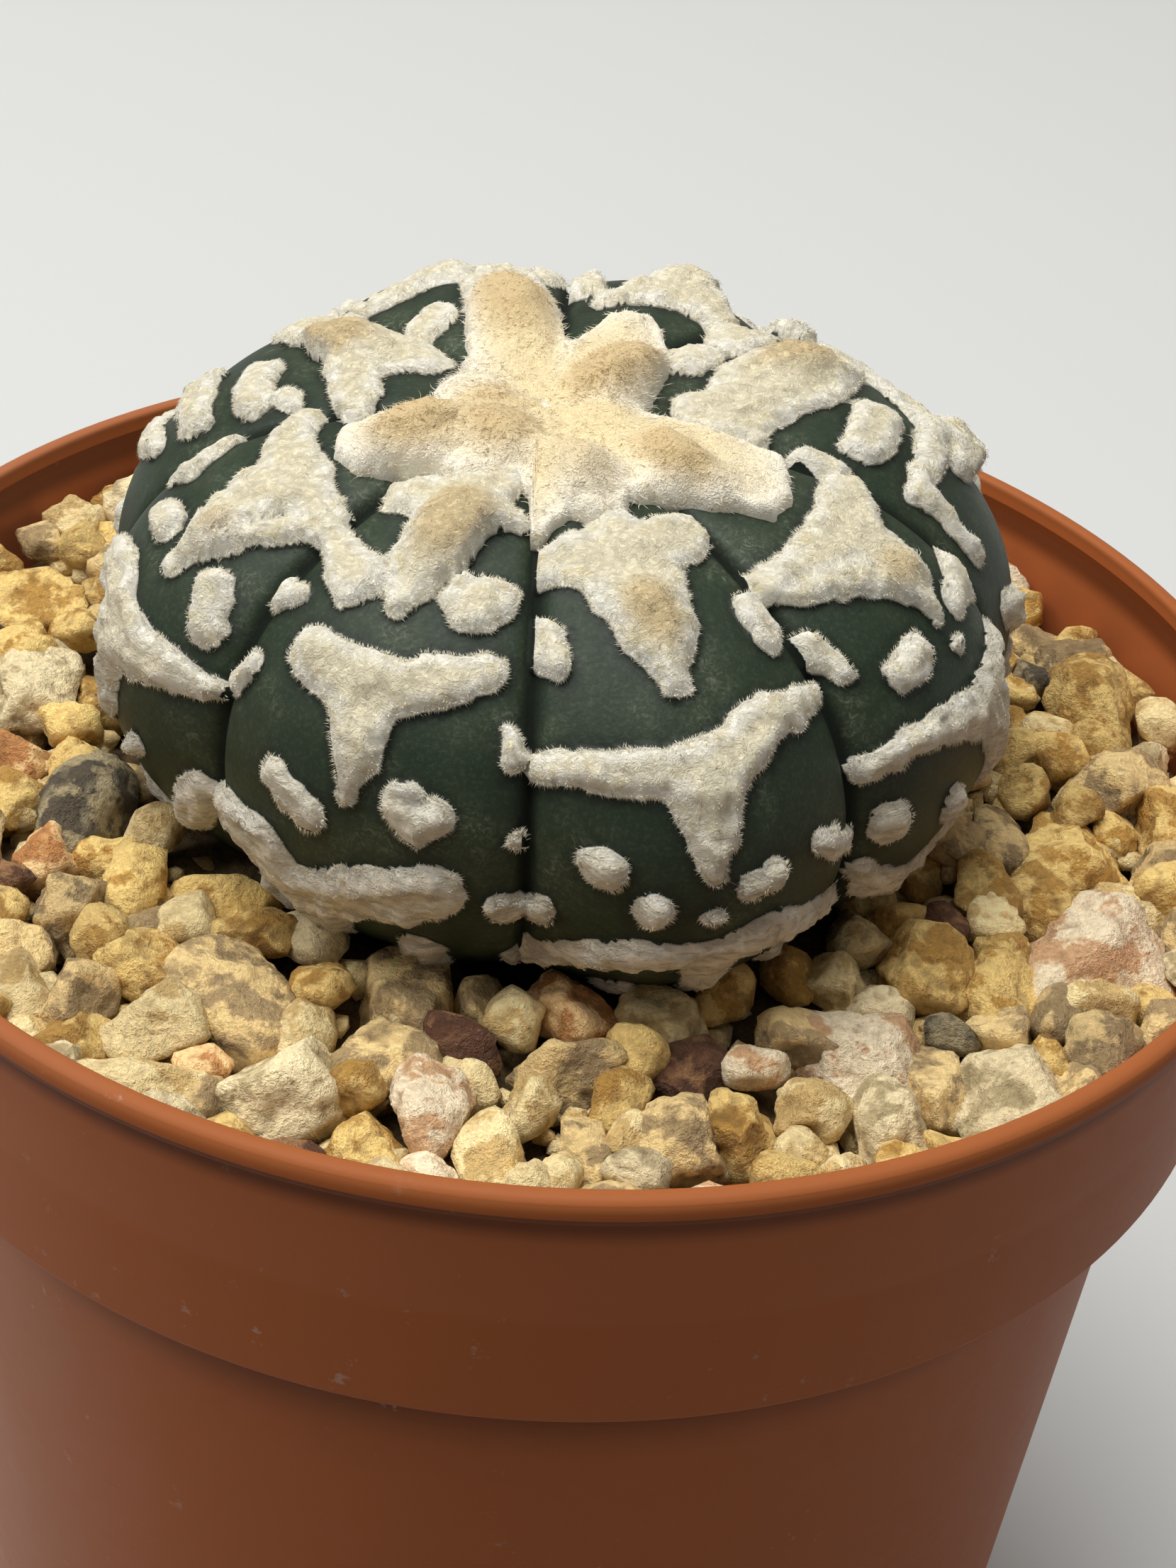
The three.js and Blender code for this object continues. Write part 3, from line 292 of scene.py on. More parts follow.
def make_piece(name: str, points: Array, faces: Sequence[Array], **layers: Array) -> bpy.types.Object:
    """Puts points and faces into a smooth shaded mesh object at the origin.

    Args:
        name: the piece's name.
        points: (n, 3) places in millimetres.
        faces: arrays of vertex numbers, one row for each face.
        layers: (n,) values kept as point attributes.

    Returns:
        The new object.
    """
    mesh = bpy.data.meshes.new(name)
    mesh.vertices.add(len(points))
    mesh.vertices.foreach_set("co", (points * MM).astype(np.float32).ravel())
    corners = np.concatenate([part.ravel() for part in faces]).astype(np.int32)
    sizes = np.concatenate([np.full(len(part), part.shape[1]) for part in faces])
    starts = np.concatenate([[0], np.cumsum(sizes)[:-1]]).astype(np.int32)
    mesh.loops.add(len(corners))
    mesh.loops.foreach_set("vertex_index", corners)
    mesh.polygons.add(len(sizes))
    mesh.polygons.foreach_set("loop_start", starts)
    mesh.update(calc_edges=True)
    mesh.validate()
    mesh.shade_smooth()
    for key, values in layers.items():
        layer = mesh.attributes.new(key, "FLOAT", "POINT")
        layer.data.foreach_set("value", values.astype(np.float32))
    piece = bpy.data.objects.new(name, mesh)
    bpy.context.scene.collection.objects.link(piece)
    return piece


def grid_faces(rows: int, columns: int) -> Array:
    """Quads of a grid joined round, whose vertex number is row * columns + column.

    Args:
        rows: how many rows of vertices it has.
        columns: how many vertices a row has.

    Returns:
        (n, 4) vertex numbers.
    """
    row, column = np.meshgrid(np.arange(rows - 1), np.arange(columns), indexing="ij")
    here = (row * columns + column).ravel()
    beside = (row * columns + (column + 1) % columns).ravel()
    return np.stack([here, here + columns, beside + columns, beside], axis=1)


def fan(centre: int, ring: Array, flipped: bool = False) -> Array:
    """Triangles from a centre vertex to each side of a closed ring.

    Args:
        centre: the centre's vertex number.
        ring: the ring's vertex numbers, in order.
        flipped: whether they face the other way.

    Returns:
        (n, 3) vertex numbers.
    """
    following = np.roll(ring, -1)
    sides = (following, ring) if flipped else (ring, following)
    return np.stack([np.full(len(ring), centre), *sides], axis=1)


def closed_grid(rows: int, columns: int) -> list[Array]:
    """Faces of a grid joined round, closed by two more vertices that follow its own.

    Args:
        rows: how many rows of vertices it has.
        columns: how many vertices a row has.

    Returns:
        The quads, and the fans from the first extra vertex to the first row and from the second
        to the last row.
    """
    ring, count = np.arange(columns), rows * columns
    return [grid_faces(rows, columns), fan(count, ring), fan(count + 1, ring + count - columns, flipped=True)]


def lathe(name: str, profile: Array, sides: int) -> bpy.types.Object:
    """Turns a profile round the Z axis: point (r, z) goes to (r cos a, r sin a, z).

    Args:
        name: the piece's name.
        profile: (n, 2) radii and heights, from the axis below to the axis above.
        sides: how many steps the turn takes.

    Returns:
        The new closed piece, with one vertex where it meets the axis at each end.
    """
    wall = profile[1:-1]
    radius, angle = np.meshgrid(wall[:, 0], turns(sides), indexing="ij")
    height = np.repeat(wall[:, 1], sides)
    points = np.stack([(radius * np.cos(angle)).ravel(), (radius * np.sin(angle)).ravel(), height], axis=1)
    count, ring = len(points), np.arange(sides)
    points = np.vstack([points, [0, 0, profile[0, 1]], [0, 0, profile[-1, 1]]])
    ends = [fan(count, ring, flipped=True), fan(count + 1, ring + count - sides)]
    return make_piece(name, points, [grid_faces(len(wall), sides)[:, ::-1], *ends])


def rounded(profile: Sequence[tuple[float, float, float]], steps: int) -> Array:
    """Rounds the corners of a profile.

    Each corner (r, z, radius) becomes a quadratic Bezier arc whose ends lie that radius along
    its two sides, so a radius of zero stays sharp.

    Args:
        profile: corners with their rounding radii.
        steps: how many pieces an arc has.

    Returns:
        (n, 2) points of the rounded profile.
    """
    corners = np.array([(r, z) for r, z, _ in profile])
    out = [corners[:1]]
    for before, here, after, size in zip(corners, corners[1:], corners[2:], [p[2] for p in profile[1:]]):
        if size == 0:
            out.append(here[None])
            continue
        start = here + unit(before - here) * size
        end = here + unit(after - here) * size
        t = np.linspace(0, 1, steps + 1)[:, None]
        out.append((1 - t) ** 2 * start + 2 * t * (1 - t) * here + t**2 * end)
    out.append(corners[-1:])
    return np.vstack(out)


def needles(stations: Sequence[Array], radius: Array) -> tuple[Array, Array]:
    """Closed three-sided needles: a triangle round each station but the last, which is the tip.

    The triangle round station k, counted from 0, has 1 - k / 5 of the root's radius.

    Args:
        stations: (n, 3) places of the roots, of any knees, and of the tips.
        radius: (n,) radii at the root.

    Returns:
        Points and triangles.
    """
    *centres, tips = stations
    axis = unit(stations[1] - stations[0])
    side = unit(np.cross(axis, axis[:, [1, 2, 0]] + [0.3, 0.1, 0.2]))
    other = np.cross(axis, side)
    rings = []
    for number, centre in enumerate(centres):
        for turn in (0, FULL_TURN / 3, 2 * FULL_TURN / 3):
            spoke = math.cos(turn) * side + math.sin(turn) * other
            rings.append(centre + (1 - 0.2 * number) * radius[:, None] * spoke)
    last = 3 * len(centres) - 3
    sides = [(k, (k + 1) % 3) for k in range(3)]
    pattern = [[0, 2, 1]]
    for low in range(0, last, 3):
        pattern += [[low + here, low + beside, low + beside + 3] for here, beside in sides]
        pattern += [[low + here, low + beside + 3, low + here + 3] for here, beside in sides]
    pattern += [[last + here, last + beside, last + 3] for here, beside in sides]
    starts = (last + 4) * np.arange(len(radius))
    points = np.stack([*rings, tips], axis=1).reshape(-1, 3)
    return points, (np.array(pattern)[None] + starts[:, None, None]).reshape(-1, 3)


def add_node(
    tree: bpy.types.NodeTree, kind: str, *values: object, named: dict | None = None,
    output: str | None = None, **settings: object,
) -> bpy.types.NodeSocket | None:
    """Adds a shader node with its settings, input values and links.

    A noise takes its place, scale, detail and roughness, a map range its value, the two ends it
    comes from and the two it goes to, and a mix its share and its two colours.

    Args:
        tree: the material's node tree.
        kind: the node's type name without the word ShaderNode.
        values: for its sockets in use, in their order: a value, or the socket that feeds it.
        named: the same for sockets given by name.
        output: the output to return; otherwise it is the first one in use.
        settings: the node's own properties.

    Returns:
        An output socket of the new node, if it has one.
    """
    node = tree.nodes.new("ShaderNode" + kind)
    for key, value in settings.items():
        setattr(node, key, value)
    in_use = [socket for socket in node.inputs if socket.enabled]
    chosen = [(node.inputs[key], value) for key, value in (named or {}).items()]
    for socket, value in [*zip(in_use, values), *chosen]:
        if isinstance(value, bpy.types.NodeSocket):
            tree.links.new(value, socket)
        else:
            socket.default_value = value
    if output:
        return node.outputs[output]
    return next((socket for socket in node.outputs if socket.enabled), None)


def new_material(name: str) -> tuple[bpy.types.Material, Callable[..., bpy.types.NodeSocket]]:
    """Makes an empty node material.

    Args:
        name: its name.

    Returns:
        The material, and add_node for its own tree.
    """
    material = bpy.data.materials.new(name)
    material.use_nodes = True
    material.node_tree.nodes.clear()
    return material, partial(add_node, material.node_tree)


def per_metre(size_mm: float) -> float:
    """The texture scale at which one cell of a pattern measures size_mm."""
    return 1000 / size_mm


def dress(piece: bpy.types.Object, material: bpy.types.Material, slot: str, *nodes: str) -> bpy.types.Object:
    """Gives a piece its material and body, and hides the frame's nodes that it stands for.

    Args:
        piece: the piece.
        material: its finish.
        slot: not used.
        nodes: the frame's nodes that it replaces.

    Returns:
        The same piece.
    """
    piece.data.materials.clear()
    piece.data.materials.append(material)
    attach(piece, "root")
    if nodes:
        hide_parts(*nodes)
    return piece


@dataclass
class PlantForm:
    """The ribbed globe that skin, felt and wool are laid on, with its measures in millimetres."""

    centre: tuple[float, float, float] = (-1.4, 1.1, POT_HEIGHT + 3)
    girth: float = 24.4
    crown_rise: float = 12.9
    base_drop: float = 14.1
    crown_roundness: float = 2.3
    base_roundness: float = 1.9
    dimple_depth: float = 0.8
    dimple_radius: float = 4.5
    lean: tuple[float, float] = (-0.03, -0.08)
    groove_depth: float = 0.07
    groove_sharpness: float = 2.2
    shoulder_down: float = 17.0
    shoulder_width: float = 7.0
    felt_blend: float = 0.45
    felt_trim: float = 0.12
    crease_depth: float = 0.4
    crease_width: float = 0.45
    ridge_steps: int = 3001
    rag: tuple[tuple[float, float, int], ...] = ((0.24, 1.1, 3), (0.15, 0.45, 4))
    flecks: list[list[Run]] = field(default_factory=lambda: [list(runs) for runs in FLECKS])

    def __post_init__(self) -> None:
        """Works out the ridge line, a superellipse in a half plane, by its length from the crown."""
        latitude = np.linspace(math.pi / 2, -math.pi / 2, self.ridge_steps)
        above = latitude >= 0
        power = np.where(above, 2 / self.crown_roundness, 2 / self.base_roundness)
        self.reach = self.girth * np.clip(np.cos(latitude), 0, 1) ** power
        drop = np.where(above, self.crown_rise, -self.base_drop)
        dimple = self.dimple_depth * np.exp(-((self.reach / self.dimple_radius) ** 2))
        self.rise = drop * np.abs(np.sin(latitude)) ** power - np.where(above, dimple, 0)
        self.down = np.concatenate([[0], np.cumsum(np.hypot(np.diff(self.reach), np.diff(self.rise)))])
        self.length = float(self.down[-1])
        outward, upward = -np.gradient(self.rise), np.gradient(self.reach)
        step = np.maximum(np.hypot(upward, outward), 1e-9)
        self.out, self.up = outward / step, upward / step
        grooves = [math.radians(rib.groove) for rib in RIBS]
        self.bounds = np.array([*grooves, grooves[0] + FULL_TURN]) - grooves[0]
        self.start = grooves[0]
        self.swells = np.array([rib.swell for rib in RIBS])
        self.shoulders = np.array([rib.shoulder for rib in RIBS])
        random = seeded(FLECK_SEED)
        for rib, first in RULED_RIBS.items():
            self.flecks[rib].extend(self.ruled_flecks(first, random))

    @staticmethod
    def ruled_flecks(first: float, random: Iterator[float]) -> list[Run]:
        """Stars in a row down a rib, each with a V of arms, a tail and a dot on each side.

        Args:
            first: how far down the first star stands.
            random: the seeded numbers.

        Returns:
            Their runs.
        """
        runs = []
        star = first
        while star < RULED_END:
            lean = -1.2 + 2.4 * next(random)
            reach = 5 + 2 * next(random)
            slope = 2.2 * lean
            left = (lean - reach, star - 1.8 - slope, 0.9)
            right = (lean + reach, star - 2.2 + slope, 0.9)
            runs.append([left, (lean, star, 1.7), right])
            runs.append([(lean, star + 0.5, 1.8), (lean - slope, star + 4.6, 0.7)])
            for side in (-1, 1):
                across = side * (3.2 + 2.2 * next(random))
                down = star + 2.8 + 1.8 * next(random)
                wide = 0.9 + 0.5 * next(random)
                runs.append([(across, down, wide), (across + 0.5 * slope, down + 1.3 * side, 0.8 * wide)])
            star += RULED_STEP
        return runs

    def rib_at(self, azimuth: Array) -> tuple[Array, Array]:
        """Which rib a direction falls on.

        Args:
            azimuth: directions round the crown, in radians.

        Returns:
            Rib numbers, and where they are across the rib, from -1 to 1.
        """
        turn = np.mod(azimuth - self.start, FULL_TURN)
        rib = np.clip(np.searchsorted(self.bounds, turn, side="right") - 1, 0, len(RIBS) - 1)
        low, high = self.bounds[rib], self.bounds[rib + 1]
        return rib, 2 * (turn - low) / (high - low) - 1

    def azimuth_of(self, rib: Array, across: Array) -> Array:
        """The direction round the crown of a place across a rib."""
        low, high = self.bounds[rib], self.bounds[rib + 1]
        return self.start + low + (high - low) * (across + 1) / 2

    def half_width(self, rib: Array, down: Array) -> Array:
        """Half of a rib's width at a distance down from the crown."""
        half_angle = (self.bounds[rib + 1] - self.bounds[rib]) / 2
        return np.maximum(np.interp(down, self.down, self.reach) * half_angle, 1e-6)

    def on_rib(self, azimuth: Array, down: Array) -> tuple[Array, Array, Array]:
        """Where places lie on their ribs.

        Args:
            azimuth: directions round the crown.
            down: distances from the crown.

        Returns:
            Rib numbers, and millimetres from the rib's middle and from its nearer groove.
        """
        rib, across = self.rib_at(azimuth)
        half = self.half_width(rib, down)
        return rib, across * half, (1 - np.abs(across)) * half

    def point(self, azimuth: Array, down: Array, lift: Array | float) -> Array:
        """A place on the ribbed skin, raised outward by lift.

        The ridge line's reach and rise shrink towards the grooves by depth * fullness *
        (1 - nearness)^sharpness, the reach swells and the shoulder rises rib by rib, and the
        whole plant leans.

        Args:
            azimuth: direction round the crown, in radians.
            down: distance from the crown along the ridge line.
            lift: height over the skin.

        Returns:
            (n, 3) places.
        """
        rib, across = self.rib_at(azimuth)
        to_groove = 1 - np.abs(across)
        neighbour = (rib + np.where(across < 0, len(RIBS) - 1, 1)) % len(RIBS)
        own = 0.5 + 0.25 * (1 - np.cos(math.pi * to_groove))
        traits = (self.swells, self.shoulders)
        swell, shoulder = (each[rib] * own + each[neighbour] * (1 - own) for each in traits)
        ridge = (self.reach, self.rise, self.out, self.up)
        reach, rise, out, up = (np.interp(down, self.down, each) for each in ridge)
        full = reach / self.girth
        groove = 1 - self.groove_depth * full * (1 - to_groove) ** self.groove_sharpness
        radius = reach * groove * (1 + swell * full) + lift * out
        hump = np.exp(-(((down - self.shoulder_down) / self.shoulder_width) ** 2))
        height = rise * groove + lift * up + shoulder * hump
        x = self.centre[0] + radius * np.cos(azimuth) + self.lean[0] * height
        y = self.centre[1] + radius * np.sin(azimuth) + self.lean[1] * height
        return np.stack([x, y, self.centre[2] + height], axis=-1)

    def axes(self, azimuth: Array, down: Array) -> tuple[Array, Array, Array]:
        """Unit vectors round the plant, down the rib and out of the skin, by small differences.

        Args:
            azimuth: directions round the crown.
            down: distances from the crown.

        Returns:
            The three (n, 3) sets of vectors.
        """
        here = self.point(azimuth, down, 0.0)
        round_way = unit(self.point(azimuth + TURN_STEP, down, 0.0) - here)
        down_way = unit(self.point(azimuth, down + DOWN_STEP, 0.0) - here)
        return round_way, down_way, unit(np.cross(down_way, round_way))

    def edge_slope(self, azimuth: Array, down: Array, edge: Array, step: float) -> tuple[Array, Array]:
        """How the felt distance grows round the plant and down it, over a step.

        Args:
            azimuth: directions round the crown.
            down: distances from the crown.
            edge: the felt distances there.
            step: the step's length in millimetres.

        Returns:
            The growth round the plant, and down it.
        """
        reach = np.interp(down, self.down, self.reach)
        beside = self.felt_edge(azimuth + step / reach, down)
        below = self.felt_edge(azimuth, down + step)
        return beside - edge, below - edge

    @staticmethod
    def run_distance(run: Run, across: Array, down: Array) -> Array:
        """Distance to a run of felt: the nearest of its tapered segments, negative inside.

        Args:
            run: places across and down with half widths.
            across: where to measure, across the rib.
            down: where to measure, down from the crown.

        Returns:
            The distances.
        """
        nearest = np.full(across.shape, np.inf)
        for start, end in zip(run[: max(len(run) - 1, 1)], run[1:] or run):
            way = np.array([end[0] - start[0], end[1] - start[1]])
            squared = float(way @ way)
            along = (across - start[0]) * way[0] + (down - start[1]) * way[1]
            share = np.clip(along / squared, 0, 1) if squared > 0 else np.zeros_like(across)
            gap = np.hypot(across - start[0] - share * way[0], down - start[1] - share * way[1])
            nearest = np.minimum(nearest, gap - (start[2] + (end[2] - start[2]) * share))
        return nearest

    def felt(self, rib: Array, aside: Array, down: Array) -> Array:
        """Distance to the nearest felt, with touching runs blended by a polynomial smooth minimum.

        Args:
            rib: rib numbers.
            aside: millimetres across the rib.
            down: distances from the crown.

        Returns:
            The distances, negative inside.
        """
        distance = np.full(aside.shape, FAR)
        for number, runs in enumerate(self.flecks):
            mine = rib == number
            across, low = aside[mine], down[mine]
            value = np.full(across.shape, FAR)
            for run in runs:
                other = self.run_distance(run, across, low)
                share = np.clip(0.5 + 0.5 * (other - value) / self.felt_blend, 0, 1)
                value = other + (value - other) * share - self.felt_blend * share * (1 - share)
            distance[mine] = value
        return distance

    def ragged(self, azimuth: Array, down: Array) -> Array:
        """How far the felt's edge strays from its drawn outline: two sizes of noise."""
        return layered_noise(self.point(azimuth, down, 0.0), *self.rag)

    def felt_edge(self, azimuth: Array, down: Array) -> Array:
        """Distance to the felt's ragged edge at places on the skin, negative inside it."""
        rib, aside, _ = self.on_rib(azimuth, down)
        return self.felt(rib, aside, down) + self.felt_trim + self.ragged(azimuth, down)

    def wool_edge(self, azimuth: Array) -> Array:
        """How far down the crown wool reaches in a direction."""
        degrees, reach = zip(*WOOL_EDGE)
        return np.interp(azimuth, np.radians(degrees), reach, period=FULL_TURN)

    @staticmethod
    def bell(aside: Array, along: Array, wide: float, long: float) -> Array:
        """A flat topped oval hump: e to the minus (squared oval distance)^1.5."""
        return np.exp(-(((aside / wide) ** 2 + (along / long) ** 2) ** 1.5))

    def areole_tufts(self, rib: Array, aside: Array, down: Array) -> tuple[Array, Array]:
        """The areoles' tufts at places on the ribs.

        Args:
            rib: rib numbers.
            aside: millimetres across the rib.
            down: distances from the crown.

        Returns:
            Heights and tan shares.
        """
        height, tan = np.zeros(aside.shape), np.zeros(aside.shape)
        for number, across, low, wide, long, tall, tint in AREOLES:
            bell = np.where(rib == number, self.bell(aside - across, down - low, wide, long), 0)
            height += tall * bell
            tan = np.maximum(tan, tint * bell)
        return height, tan

    def crown_tufts(self, azimuth: Array, down: Array) -> tuple[Array, Array]:
        """The tufts on the crown wool, laid out as seen from above.

        Args:
            azimuth: directions round the crown.
            down: distances from the crown.

        Returns:
            Heights and tan shares.
        """
        height, tan = np.zeros(azimuth.shape), np.zeros(azimuth.shape)
        for degrees, low, wide, long, tall, tint in CROWN_TUFTS:
            turn = azimuth - math.radians(degrees)
            bell = self.bell(down * np.sin(turn), down * np.cos(turn) - low, wide, long)
            height += tall * bell
            tan = np.maximum(tan, tint * bell)
        return height, tan


@dataclass(frozen=True)
class LevelBand:
    """A level band of colour on the pot, mostly painted shadow and shade.

    Args:
        low: the height in metres where it begins.
        high: the height where it is full.
        top: the height where it ends.
        share: how much of the plastic it hides.
        tint: its colour.
    """

    low: float
    high: float
    top: float
    share: float
    tint: str


@dataclass(frozen=True)
class MouldedPolypropylene:
    """Finish of the pot: brick brown polypropylene, injection moulded against polished steel.

    The level bands are a painted shadow under the collar and another under the lip, a paler upper collar, and
    painted shade that darkens the lip's top.
    """

    base: str = "#ab5e31"
    pale: str = "#b56638"
    dark: str = "#9d542a"
    dust: str = "#c0a492"
    mottle_size: float = 22.0
    flow_mark_size: float = 0.9
    speck_size: float = 1.6
    patch_size: float = 14.0
    level_bands: tuple[LevelBand, ...] = (
        # painted shadow under the collar
        LevelBand(0.0480, 0.0527, 0.05385, 0.82, "#3c1a0c"),
        # paler upper collar
        LevelBand(0.0599, 0.0606, 0.0666, 0.07, "#d08e70"),
        # painted shadow under the lip bead
        LevelBand(0.0649, 0.0661, 0.0671, 0.68, "#441c0c"),
        # painted shade that darkens the lip's top against the overhead light falling on it
        LevelBand(0.0673, 0.0677, 0.0690, 0.9, "#9c5a32"),
    )

    def material(self) -> bpy.types.Material:
        """Builds it: broad soft mottling, thin turned flow marks and a few rubbed pale specks.

        Returns:
            The material.
        """
        material, add = new_material("moulded_polypropylene")
        place = add("TexCoord", output="Object")
        # broad tone changes, as thin plastic shows over damp and dry filling
        broad = add("TexNoise", place, per_metre(self.mottle_size), 3.0)
        toned = add("Mix", broad, linear(self.dark), linear(self.pale), data_type="RGBA")
        body = add("Mix", 0.62, toned, linear(self.base), data_type="RGBA")
        # flow marks round the pot: noise squeezed to thin level lines
        squeeze = add("Mapping", place, named={"Scale": (0.08, 0.08, 1.0)})
        lines = add("TexNoise", squeeze, per_metre(self.flow_mark_size), 3.0)
        # rubbed and dusty specks where pots touch each other
        specks = add("TexNoise", place, per_metre(self.speck_size), 5.0, 0.72)
        patches = add("TexNoise", place, per_metre(self.patch_size), 1.0)
        speck = add("MapRange", specks, 0.63, 0.71)
        patch = add("MapRange", patches, 0.48, 0.64, 0.0, 0.55)
        rubs = add("Math", speck, patch, operation="MULTIPLY")
        # a pale patchy haze on the left of the body, under the collar
        level = add("SeparateXYZ", place, output="Z")
        across = level.node.outputs["X"]
        left = add("MapRange", across, -0.012, -0.034, 0.0, 0.33, interpolation_type="SMOOTHSTEP")
        under = add("MapRange", level, 0.055, 0.046, 0.25)
        haze_patch = add("MapRange", patches, 0.38, 0.66, 0.45)
        left_under = add("Math", left, under, operation="MULTIPLY")
        haze = add("Math", left_under, haze_patch, operation="MULTIPLY")
        dust = add("Math", rubs, haze, operation="MAXIMUM")
        # level bands of painted shadow and shade, and the paler upper collar
        for level_band in self.level_bands:
            ends = (level_band.low, level_band.high, 0.0, level_band.share)
            growth = add("MapRange", level, *ends, interpolation_type="SMOOTHSTEP")
            below = add("Math", level, level_band.top, operation="LESS_THAN")
            share = add("Math", growth, below, operation="MULTIPLY")
            body = add("Mix", share, body, linear(level_band.tint), data_type="RGBA")
        colour = add("Mix", dust, body, linear(self.dust), data_type="RGBA")
        rough = add("MapRange", specks, 0.0, 1.0, 0.4, 0.56)
        height = add("Math", lines, specks, operation="ADD")
        bump = add("Bump", named={"Height": height, "Strength": 0.06, "Distance": 0.0003})
        add("OutputMaterial", add("BsdfPrincipled", named={
            "Base Color": colour, "Roughness": rough, "IOR": 1.49, "Specular IOR Level": 0.08,
            "Normal": bump}))
        return material


@dataclass(frozen=True)
class CactusSkin:
    """Finish of the plant: waxy green skin with a fine pale mottling, under matted plant felt."""

    green: str = "#222f20"
    # colour of the painted shade in the folds and of the painted shadow along the flecks
    deep: str = "#10160f"
    worn: str = "#3a4530"
    dot: str = "#66705a"
    lint: str = "#8b917c"
    felt: str = "#fffaea"
    felt_shade: str = "#e8d8a8"
    felt_low: str = "#fff6e4"
    # colour of the painted shade in the low felt's wrinkles
    felt_crease_shade: str = "#a6977a"
    tan: str = "#dcc495"
    drift_size: float = 5.0
    dot_size: float = 0.2
    lint_size: float = 0.5
    clump_size: float = 1.3
    wrinkle_size: float = 1.6
    fibre_size: float = 0.45

    def material(self) -> bpy.types.Material:
        """Builds it from the piece's own layers: felt distance, tan share, groove distance, down.

        Returns:
            The material.
        """
        material, add = new_material("waxy_skin_and_matted_felt")
        place = add("TexCoord", output="Object")
        keys = ("felt", "tan", "groove", "down")
        edge, tan, groove, down = (add("Attribute", output="Fac", attribute_name=key) for key in keys)
        # the skin's tone drifts over several millimetres and is mottled at a fifth of one
        broad = add("TexNoise", place, per_metre(self.drift_size), 4.0, 0.6)
        drift = add("MapRange", broad, 0.38, 0.68, 0.0, 0.55)
        mottle = add("TexNoise", place, per_metre(self.dot_size), 2.0)
        dots = add("MapRange", mottle, 0.5, 0.75, 0.0, 0.16)
        # a mist of shed fibres lies in patches on the wax
        lint = add("TexNoise", place, per_metre(self.lint_size), 4.0, 0.7, named={"Distortion": 2.0})
        lie = add("MapRange", broad, 0.5, 0.66, 0.0, 0.5)
        thread = add("MapRange", lint, 0.48, 0.68)
        mist = add("Math", lie, thread, operation="MULTIPLY")
        # painted shade darkens the folds between the ribs, and a painted contact shadow the strip along each
        # fleck: both are darker and cleaner
        groove_shade = add("MapRange", groove, 0.05, 0.7, 0.95, 0.0, interpolation_type="SMOOTHSTEP")
        # painted contact shadow on the skin along each fleck's edge
        fleck_shadow = add("MapRange", edge, 0.0, 0.8, 0.62, 0.0, interpolation_type="SMOOTHSTEP")
        skin = linear(self.green)
        coats = (
            (drift, self.worn), (dots, self.dot), (mist, self.lint), (groove_shade, self.deep), (fleck_shadow, self.deep),
        )
        for share, tint in coats:
            skin = add("Mix", share, skin, linear(tint), data_type="RGBA")
        # felt: matted clumps about a millimetre wide, duller low on the plant, tan on the areoles
        clumps = add("TexNoise", place, per_metre(self.clump_size), 5.0, 0.65)
        clump = add("MapRange", clumps, 0.44, 0.66, 0.0, 0.8)
        deep = add("MapRange", edge, -0.35, -1.2, 0.0, 0.6)
        creamy = add("Math", clump, deep, operation="MAXIMUM")
        low = add("MapRange", down, 22.0, 38.0, 0.0, 0.75)
        areole = add("MapRange", tan, 0.15, 0.9, 0.0, 0.9, interpolation_type="SMOOTHSTEP")
        rim = add("MapRange", edge, -0.45, -0.05, 0.0, 0.6)
        mask = add("MapRange", edge, 0.03, -0.05)
        # low on the plant the wool is pressed into level wrinkles, with painted shade in them
        press = add("Mapping", place, named={"Scale": (1.0, 1.0, 3.2)})
        wrinkles = add("TexNoise", press, per_metre(self.wrinkle_size), 5.0, 0.7, named={"Distortion": 0.6})
        wrinkle = add("MapRange", wrinkles, 0.48, 0.6, 0.0, 0.45)
        lowest = add("Math", add("MapRange", down, 24.0, 31.0), mask, operation="MULTIPLY")
        crease = add("Math", wrinkle, lowest, operation="MULTIPLY")
        felt = linear(self.felt)
        coats = (
            (creamy, self.felt_shade), (low, self.felt_low), (areole, self.tan), (rim, self.felt),
            (crease, self.felt_crease_shade),
        )
        for share, tint in coats:
            felt = add("Mix", share, felt, linear(tint), data_type="RGBA")
        colour = add("Mix", mask, skin, felt, data_type="RGBA")
        dull = add("Math", mask, groove_shade, operation="MAXIMUM")
        rough = add("MapRange", dull, 0.0, 1.0, 0.5, 0.95)
        # matted fibres, half a millimetre down to a tenth, over fine skin cells
        fibres = add("TexNoise", place, per_metre(self.fibre_size), 5.0, 0.75, named={"Distortion": 1.4})
        depth = add("MapRange", mask, 0.0, 1.0, 0.1)
        relief = add("Math", fibres, depth, operation="MULTIPLY")
        creased = add("Math", relief, crease, operation="SUBTRACT")
        bump = add("Bump", named={"Height": creased, "Strength": 0.85, "Distance": 0.0004})
        add("OutputMaterial", add("BsdfPrincipled", named={
            "Base Color": colour, "Roughness": rough, "IOR": 1.42, "Specular IOR Level": 0.32,
            "Normal": bump}))
        return material


